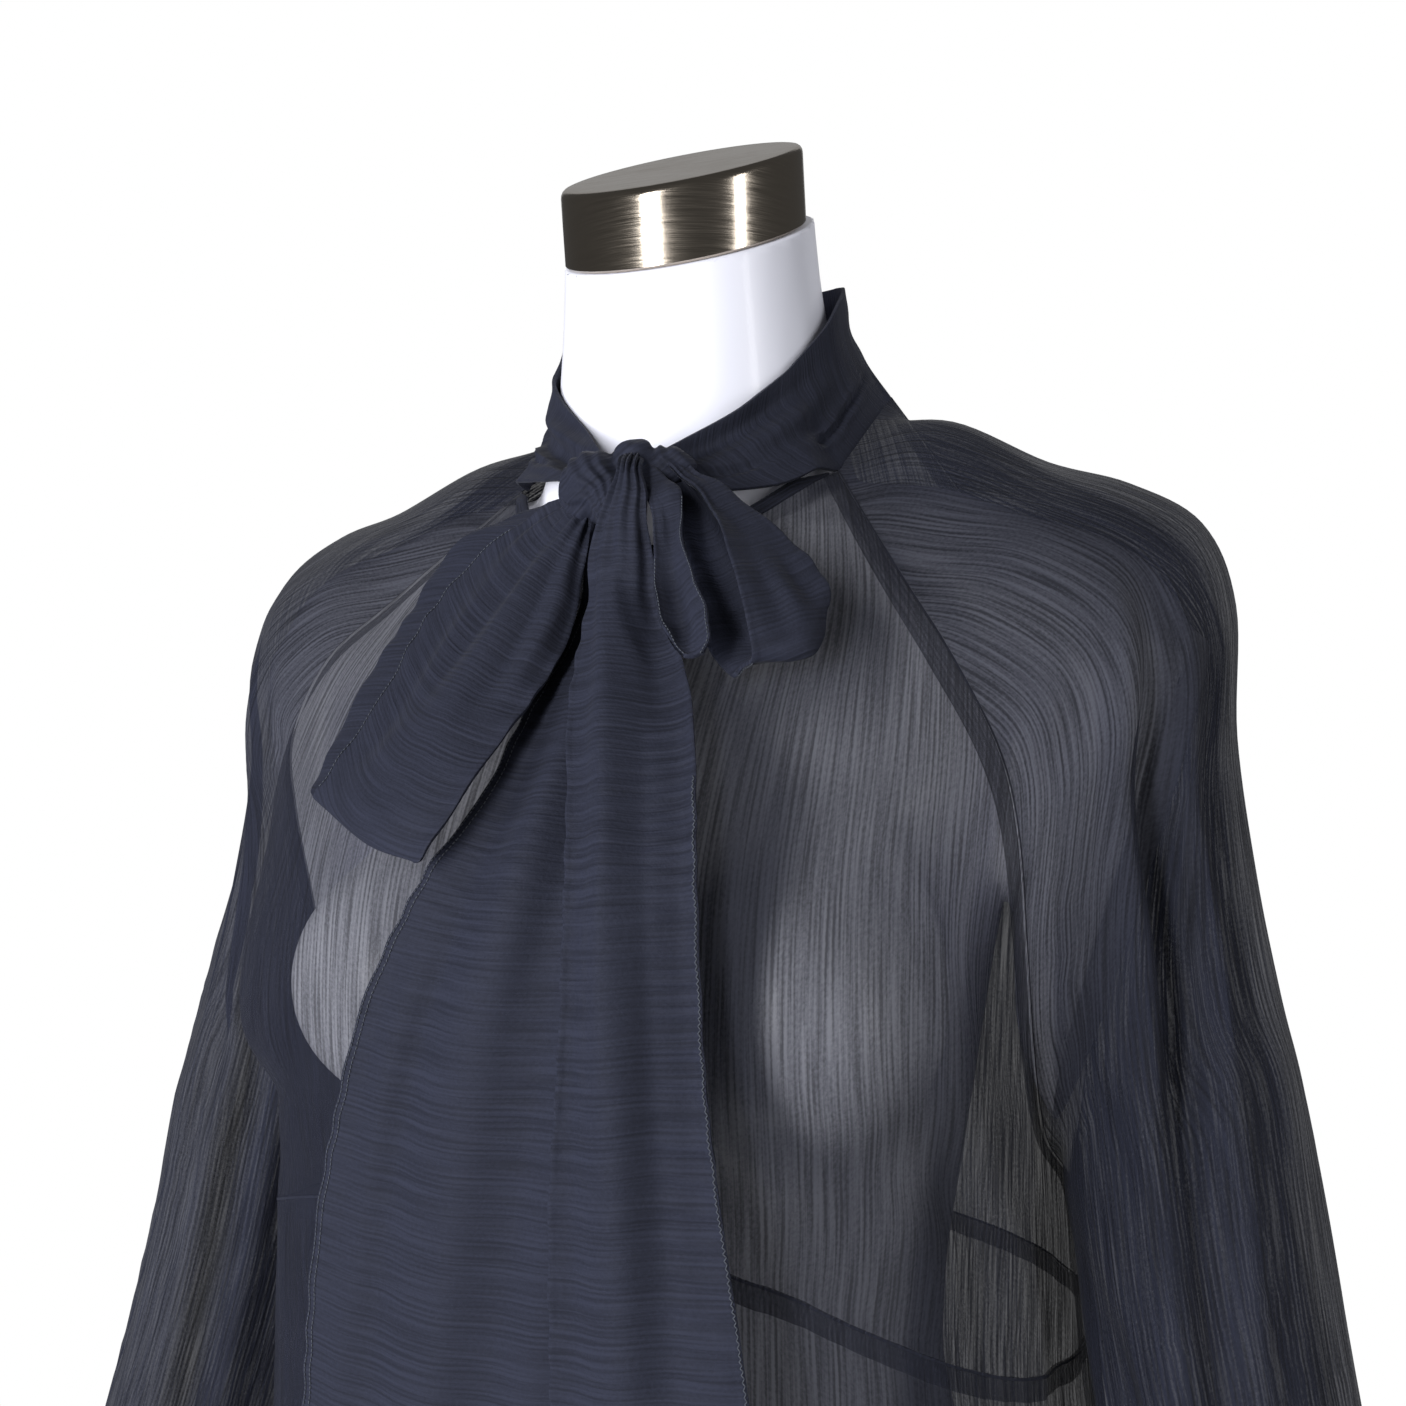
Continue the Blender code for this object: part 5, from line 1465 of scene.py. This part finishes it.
class BLOUSE_OT_body(bpy.types.Operator):
    """Front and back of the blouse, upper and lower, with the turnings inside their seams"""
    bl_idname = "blouse.body"
    bl_label = "Front and back"

    def execute(self, context):
        settings = context.scene.cloth_settings
        skin = smooth_skin()
        grids, seam = table_grids()
        cut = seam * BODY_STEPS[0]
        depth = settings.crinkle_depth
        face = chiffon("chiffon_front", settings, settings.opacity, settings.contrast, depth)
        # The back is drawn denser by painted shade, so what shows through it is darker.
        rear_shade = chiffon("chiffon_back_shade", settings, settings.opacity + BACK_SHADE_COVER,
                       settings.contrast * BACK_CONTRAST, depth)
        edge = chiffon("chiffon_turning", settings, *TURNING_COVER, depth)
        double = chiffon("chiffon_binding", settings, *BINDING_COVER, depth)
        panels = (("front", FRONT_CREASES, face, False), ("back", BACK_CREASES, rear_shade, True))
        for name, creases, finish, flip in panels:
            smooth = refine(grids[name], BODY_STEPS)
            fade = side_fade(smooth, SEAM_FADE)
            top = np.clip(run_along(smooth, 0) / TOP_FADE, 0.0, 1.0)
            fine = creased(smooth, BODY_STEPS, creases, flip, fade * top)
            drop = np.clip((np.arange(fine.shape[0]) - cut) / (fine.shape[0] - 1 - cut), 0.0, 1.0)[:, None]
            gathers = np.exp(-drop * GATHERS_FADE_OUT) * np.clip(drop * GATHERS_FADE_IN, 0.0, 1.0)
            fine = rippled(fine, flip, GATHER_WAVES[name], fade * gathers)
            fine = rippled(fine, flip, SKIRT_WAVES[name], fade * np.sqrt(drop))
            fine = eased_off(fine, skin, settings.thickness + STAND_OFF)
            halves = ((name + "_upper", slice(0, cut + 1)), (name + "_lower", slice(cut, None)))
            for part_name, rows in halves:
                grid = fine[rows]
                piece = cloth_piece(part_name + "_cloth", [grid], 0.0, finish, flip, laid=[smooth[rows]])
                settled(piece, [part_name])
                widths = {"left": settings.allowance, "right": settings.allowance}
                if part_name.endswith("lower"):
                    widths.update(top=settings.allowance * 0.9, bottom=HEM_TURNING)
                strips = [along_edge(grid, side, width, TURNING_INSET, flip)
                          for side, width in widths.items()]
                strips = [eased_off(strip, skin, TURNING_STAND_OFF) for strip in strips]
                turning = cloth_piece(part_name + "_turnings", strips, 0.0, edge, flip)
                lines = [along_edge(grid, side, SEAM_LINE, SEAM_LINE_LIFT, flip, 2)
                         for side in widths if side != "bottom"]
                seams = cloth_piece(part_name + "_seam_lines", lines, 0.0, double, flip)
                extras = [settled(turning), settled(seams)]
        binding = refine(binding_rows(grids["front"]), (4, BODY_STEPS[1]))
        binding = eased_off(binding, skin, FORM_GAP)
        piece = cloth_piece("neck_binding_cloth", [binding], DOUBLED_WALL, double, lines_across=True)
        settled(piece, ["neck_binding"])
        return {"FINISHED"}


class BLOUSE_OT_sleeves(bpy.types.Operator):
    """Two raglan sleeves, gathered into their cuffs"""
    bl_idname = "blouse.sleeves"
    bl_label = "Sleeves and cuffs"

    def execute(self, context):
        settings = context.scene.cloth_settings
        skin = smooth_skin()
        grids, _ = table_grids()
        depth = settings.crinkle_depth
        sleeve_cloth = chiffon("chiffon_sleeve", settings, settings.sleeve_opacity,
                               settings.contrast * SLEEVE_CONTRAST, depth * SOFT_CRINKLE)
        cuff_cloth = chiffon("chiffon_cuff", settings, *CUFF_COVER, depth)
        for side, name in ((1, "left"), (-1, "right")):
            flip = side < 0
            smooth = refine(grids[name], SLEEVE_STEPS)
            fade = side_fade(smooth, SEAM_FADE)
            run = run_along(smooth, 0)
            top = np.clip(run / TOP_FADE, 0.0, 1.0)
            end = 1.0 - run / run[-1:]
            pressed = fade * top * np.clip(end * CREASES_OFF_CUFF, 0.0, 1.0)
            fine = creased(smooth, SLEEVE_STEPS, SLEEVE_CREASES[name], flip, pressed)
            gathers = np.exp(-((end - CUFF_GATHERS_MIDDLE) / CUFF_GATHERS_REACH) ** 2)
            gathers *= np.clip(end * GATHERS_FADE_IN, 0.0, 1.0)
            fine = rippled(fine, flip, GATHER_WAVES[name], fade * gathers)
            fine = eased_off(fine, skin, settings.thickness + STAND_OFF)
            # Painted shade: the rear of each sleeve is drawn denser, so what shows through it is darker.
            columns = np.linspace(0.0, 1.0, fine.shape[1])[None, :] * np.ones((fine.shape[0], 1))
            rear_shade = np.clip((columns - REAR_SLEEVE_SHADE_START) / REAR_SLEEVE_SHADE_BLEND, 0.0, 1.0) * REAR_SLEEVE_SHADE_COVER
            piece = cloth_piece(f"sleeve_{name}_cloth", [fine], 0.0, sleeve_cloth, flip, laid=[smooth],
                                shade_cover=[rear_shade])
            settled(piece, ["sleeve_" + name])
            cuff = np.array([tube_row(tube) for tube in CUFF]) * (side * MM, MM, MM)
            cuff = refine(cuff, CUFF_STEPS)
            piece = cloth_piece(f"cuff_{name}_cloth", [cuff], DOUBLED_WALL, cuff_cloth, flip,
                                lines_across=True)
            settled(piece, ["cuff_" + name])
        return {"FINISHED"}


class BLOUSE_OT_tie(bpy.types.Operator):
    """Tie collar, knot, loops and hanging ends"""
    bl_idname = "blouse.tie"
    bl_label = "Tie collar and bow"

    def execute(self, context):
        settings = context.scene.cloth_settings
        grids, _ = table_grids()
        double = chiffon("chiffon_double", settings, 1.0, 0.0, settings.crinkle_depth * SOFT_CRINKLE,
                         DOUBLE_LIFT, DOUBLE_RIDGE_SHADE_SPREAD)
        seam = neck_seam(grids["back"], grids)
        collar = keep_clear(collar_rows(seam), solid_skin(), TIE_CLOTH + FORM_GAP)
        smooth = refine(collar, COLLAR_STEPS)
        fine = creased(smooth, COLLAR_STEPS, COLLAR_CREASES, False, np.ones(smooth.shape[:2]))
        fine = eased_off(fine, smooth_skin(), settings.tie_thickness + STAND_OFF)
        knot = self.knot(double)
        self.ribbon("tie_collar", fine, smooth, double, settings, "hung", "form_shell", [knot],
                    lines_across=False)
        thread = thread_finish("edge_thread", settings.thread_colour)
        ribbons = [
            ("bow_loop_right", LOOP_RIGHT, 4, 2, (8, 6)),
            ("bow_loop_left", LOOP_LEFT, 3, 2, (8, 6)),
            ("bow_lobe", LOBE, 3, 2, (8, 5)),
            ("tail_rear", REAR_TAIL, 4, 1, (40, 7)),
            ("tail_front", FRONT_TAIL_OVER_KNOT + FRONT_TAIL, 4, 1, (36, 7)),
        ]
        for name, guides, across, between, steps in ribbons:
            smooth = refine(ribbon_rows(guides, across, between), steps)
            fine = creased(smooth, steps, TIE_CREASES[name], False, np.ones(smooth.shape[:2]))
            fine = self.gathered_and_hemmed(fine, GATHERS_AT_KNOT[name])
            held = "folded" if "loop" in name else "hung"
            stitches = self.edge_stitches(name, fine, thread, settings)
            self.ribbon(name, fine, smooth, double, settings, held, "bow_knot_cloth", stitches)
        return {"FINISHED"}

    def gathered_and_hemmed(self, fine, gathers):
        """Pleats that fade away from the knot, and narrow rolled edges that wave a little."""
        from_root = run_along(fine, 0)
        run = run_along(fine, 1)
        width = np.maximum(run[:, -1:], 1e-6)
        near_root = np.exp(-from_root / (gathers.reach * MM))
        phase = 2 * math.pi * gathers.count * run / width + 0.8 * np.sin(from_root / 0.021)
        pleats = gathers.depth * MM * near_root * np.sin(phase)
        pleats *= 0.75 + 0.25 * np.sin(run / width * 7.0 + 1.0)
        edge = np.minimum(run, width - run)
        hem = HEM_RISE * np.exp(-((edge - HEM_INSET) / HEM_WIDTH) ** 2)
        wave = HEM_WAVE * np.exp(-edge / 0.006) * np.sin(from_root / 0.0031 + 1.7 * np.sin(from_root / 0.013))
        return fine + grid_normals(fine, False) * (pleats + hem + wave)[:, :, None]

    def edge_stitches(self, name, fine, thread, settings):
        """Stitches along the edges that show their sewing, each a short thread on the cloth."""
        normals = grid_normals(fine, False)
        run = run_along(fine, 1)
        pieces = []
        for number, line in enumerate(EDGE_STITCHES.get(name, ())):
            rows = range(int(line.first * (fine.shape[0] - 1)), int(line.last * (fine.shape[0] - 1)) + 1)
            path = []
            for r in rows:
                wanted = line.inset * MM if line.edge == "left" else run[r, -1] - line.inset * MM
                spot = [np.interp(wanted, run[r], fine[r, :, k]) for k in range(3)]
                lift = [np.interp(wanted, run[r], normals[r, :, k]) for k in range(3)]
                path.append(np.array(spot) + np.array(lift) * line.side * STITCH_LIFT)
            pieces.append(stitch_row(f"{name}_stitches_{number}", np.array(path), line, thread, settings))
        return pieces

    def ribbon(self, name, fine, smooth, finish, settings, held, holder, extras=(), lines_across=True):
        piece = cloth_piece(name + "_cloth", [fine], settings.tie_thickness, finish,
                            lines_across=lines_across, laid=[smooth], round_edge=TIE_EDGE)
        settled(piece, [name])

    def knot(self, finish):
        shape = bmesh.new()
        for (x, y, z), half in KNOT_LUMPS:
            size = Matrix.Diagonal((*(h * MM for h in half), 1.0))
            place = Matrix.Translation(Vector((x, y, z)) * MM) @ size
            bmesh.ops.create_icosphere(shape, subdivisions=4, radius=1.0, matrix=place)
        piece = new_object("bow_knot_cloth", mesh_of(shape, "bow_knot_cloth"))
        skinned(piece, KNOT_SKIN_STEP, KNOT_SMOOTHING)
        mesh = piece.data
        mesh.materials.clear()
        mesh.materials.append(finish)
        normals = [v.normal.copy() for v in mesh.vertices]
        for vertex, normal in zip(mesh.vertices, normals):
            place = vertex.co / MM
            sway = KNOT_SWAY * noise.noise(place * KNOT_SWAY_SCALE)
            pleat = math.cos(2.0 * math.pi * (place.dot(KNOT_ACROSS) / KNOT_PLEATS + sway))
            uneven = KNOT_UNEVEN * noise.noise(place * KNOT_UNEVEN_SCALE)
            vertex.co += normal * (KNOT_PLEAT_DEPTH * pleat + uneven) * MM
        layer = mesh.uv_layers.new(name="cloth")
        for loop in mesh.loops:
            co = mesh.vertices[loop.vertex_index].co
            layer.data[loop.index].uv = (co.dot(KNOT_ALONG), co.dot(KNOT_ACROSS))
        mesh.shade_smooth()
        return settled(piece, ["bow_knot"])


class BLOUSE_OT_stage(bpy.types.Operator):
    """Pale floor, soft studio light and the camera"""
    bl_idname = "blouse.stage"
    bl_label = "Stage"

    def execute(self, context):
        settings = context.scene.stage_settings
        scene = context.scene
        scene.view_settings.view_transform = "Standard"
        shape = bmesh.new()
        bmesh.ops.create_circle(shape, cap_ends=True, segments=96, radius=FLOOR_RADIUS)
        floor = new_object("floor", mesh_of(shape, "floor"))
        floor.data.materials.append(floor_finish())
        floor.location = (0.0, 0.0, -FLOOR_DROP)
        for light in LIGHTS:
            self.soft_box(light)
        self.surroundings(settings)
        camera = bpy.data.cameras.new("view")
        camera.lens = settings.lens
        camera.sensor_width = SENSOR_WIDTH
        camera.sensor_fit = "HORIZONTAL"
        camera.clip_start = 0.05
        holder = new_object("view", camera)
        turn = settings.turn
        holder.location = (
            settings.distance * math.sin(turn) + settings.sideways * math.cos(turn),
            -settings.distance * math.cos(turn) + settings.sideways * math.sin(turn),
            settings.eye_height,
        )
        holder.rotation_euler = (math.pi / 2, 0.0, turn)
        scene.camera = holder
        return {"FINISHED"}

    def soft_box(self, light):
        """A soft box aimed at the chest from round the form."""
        data = bpy.data.lights.new(light.name, "AREA")
        data.shape = "RECTANGLE"
        data.size = light.width
        data.size_y = light.height
        data.energy = light.power
        lamp = new_object(light.name, data)
        turn = math.radians(light.turn)
        place = Vector((light.distance * math.sin(turn), -light.distance * math.cos(turn), light.up))
        lamp.location = place
        lamp.rotation_euler = (Vector((0.0, 0.0, LIGHTS_AIM)) - place).to_track_quat("-Z", "Y").to_euler()
        lamp.visible_glossy = light.glossy

    def surroundings(self, settings):
        """Bright to the camera, softer as light, and dim in reflections."""
        world = bpy.data.worlds.new("studio")
        bpy.context.scene.world = world
        world.use_nodes = True
        tree = world.node_tree
        tree.nodes.clear()
        path = node(tree, "ShaderNodeLightPath").outputs
        level = math_node(tree, "MULTIPLY", path["Is Camera Ray"], settings.background)
        soft = math_node(tree, "MULTIPLY", path["Is Glossy Ray"], GLOSSY_FILL - settings.fill)
        rest = math_node(tree, "ADD", soft, settings.fill)
        dark = math_node(tree, "MULTIPLY", math_node(tree, "SUBTRACT", 1.0, path["Is Camera Ray"]), rest)
        total = math_node(tree, "ADD", level, dark)
        light = node(tree, "ShaderNodeBackground", {"Color": (1.0, 1.0, 1.0, 1.0), "Strength": total})
        out = tree.nodes.new("ShaderNodeOutputWorld")
        tree.links.new(light.outputs[0], out.inputs["Surface"])


class BLOUSE_PT_panel(bpy.types.Panel):
    bl_idname = "BLOUSE_PT_panel"
    bl_label = "Blouse"
    bl_space_type = "VIEW_3D"
    bl_region_type = "UI"
    bl_category = "Blouse"

    def draw(self, context):
        for name, _ in GROUPS:
            group = getattr(context.scene, name)
            box = self.layout.box()
            for key in group.bl_rna.properties.keys():
                if key not in ("rna_type", "name"):
                    box.prop(group, key)
        for operator in OPERATORS:
            self.layout.operator(operator.bl_idname)


OPERATORS = (BLOUSE_OT_form, BLOUSE_OT_body, BLOUSE_OT_sleeves, BLOUSE_OT_tie, BLOUSE_OT_stage)
GROUPS = (
    ("cloth_settings", ClothSettings),
    ("form_settings", FormSettings),
    ("stage_settings", StageSettings),
)


def register():
    for _, group in GROUPS:
        bpy.utils.register_class(group)
    for name, group in GROUPS:
        setattr(bpy.types.Scene, name, PointerProperty(type=group))
    for kind in OPERATORS + (BLOUSE_PT_panel,):
        bpy.utils.register_class(kind)


def unregister():
    for kind in reversed(OPERATORS + (BLOUSE_PT_panel,)):
        bpy.utils.unregister_class(kind)
    for name, group in reversed(GROUPS):
        delattr(bpy.types.Scene, name)
        bpy.utils.unregister_class(group)


def main():
    register()
    bpy.ops.blouse.form()
    bpy.ops.blouse.body()
    bpy.ops.blouse.sleeves()
    bpy.ops.blouse.tie()
    bpy.ops.blouse.stage()


if __name__ == "__main__":
    main()
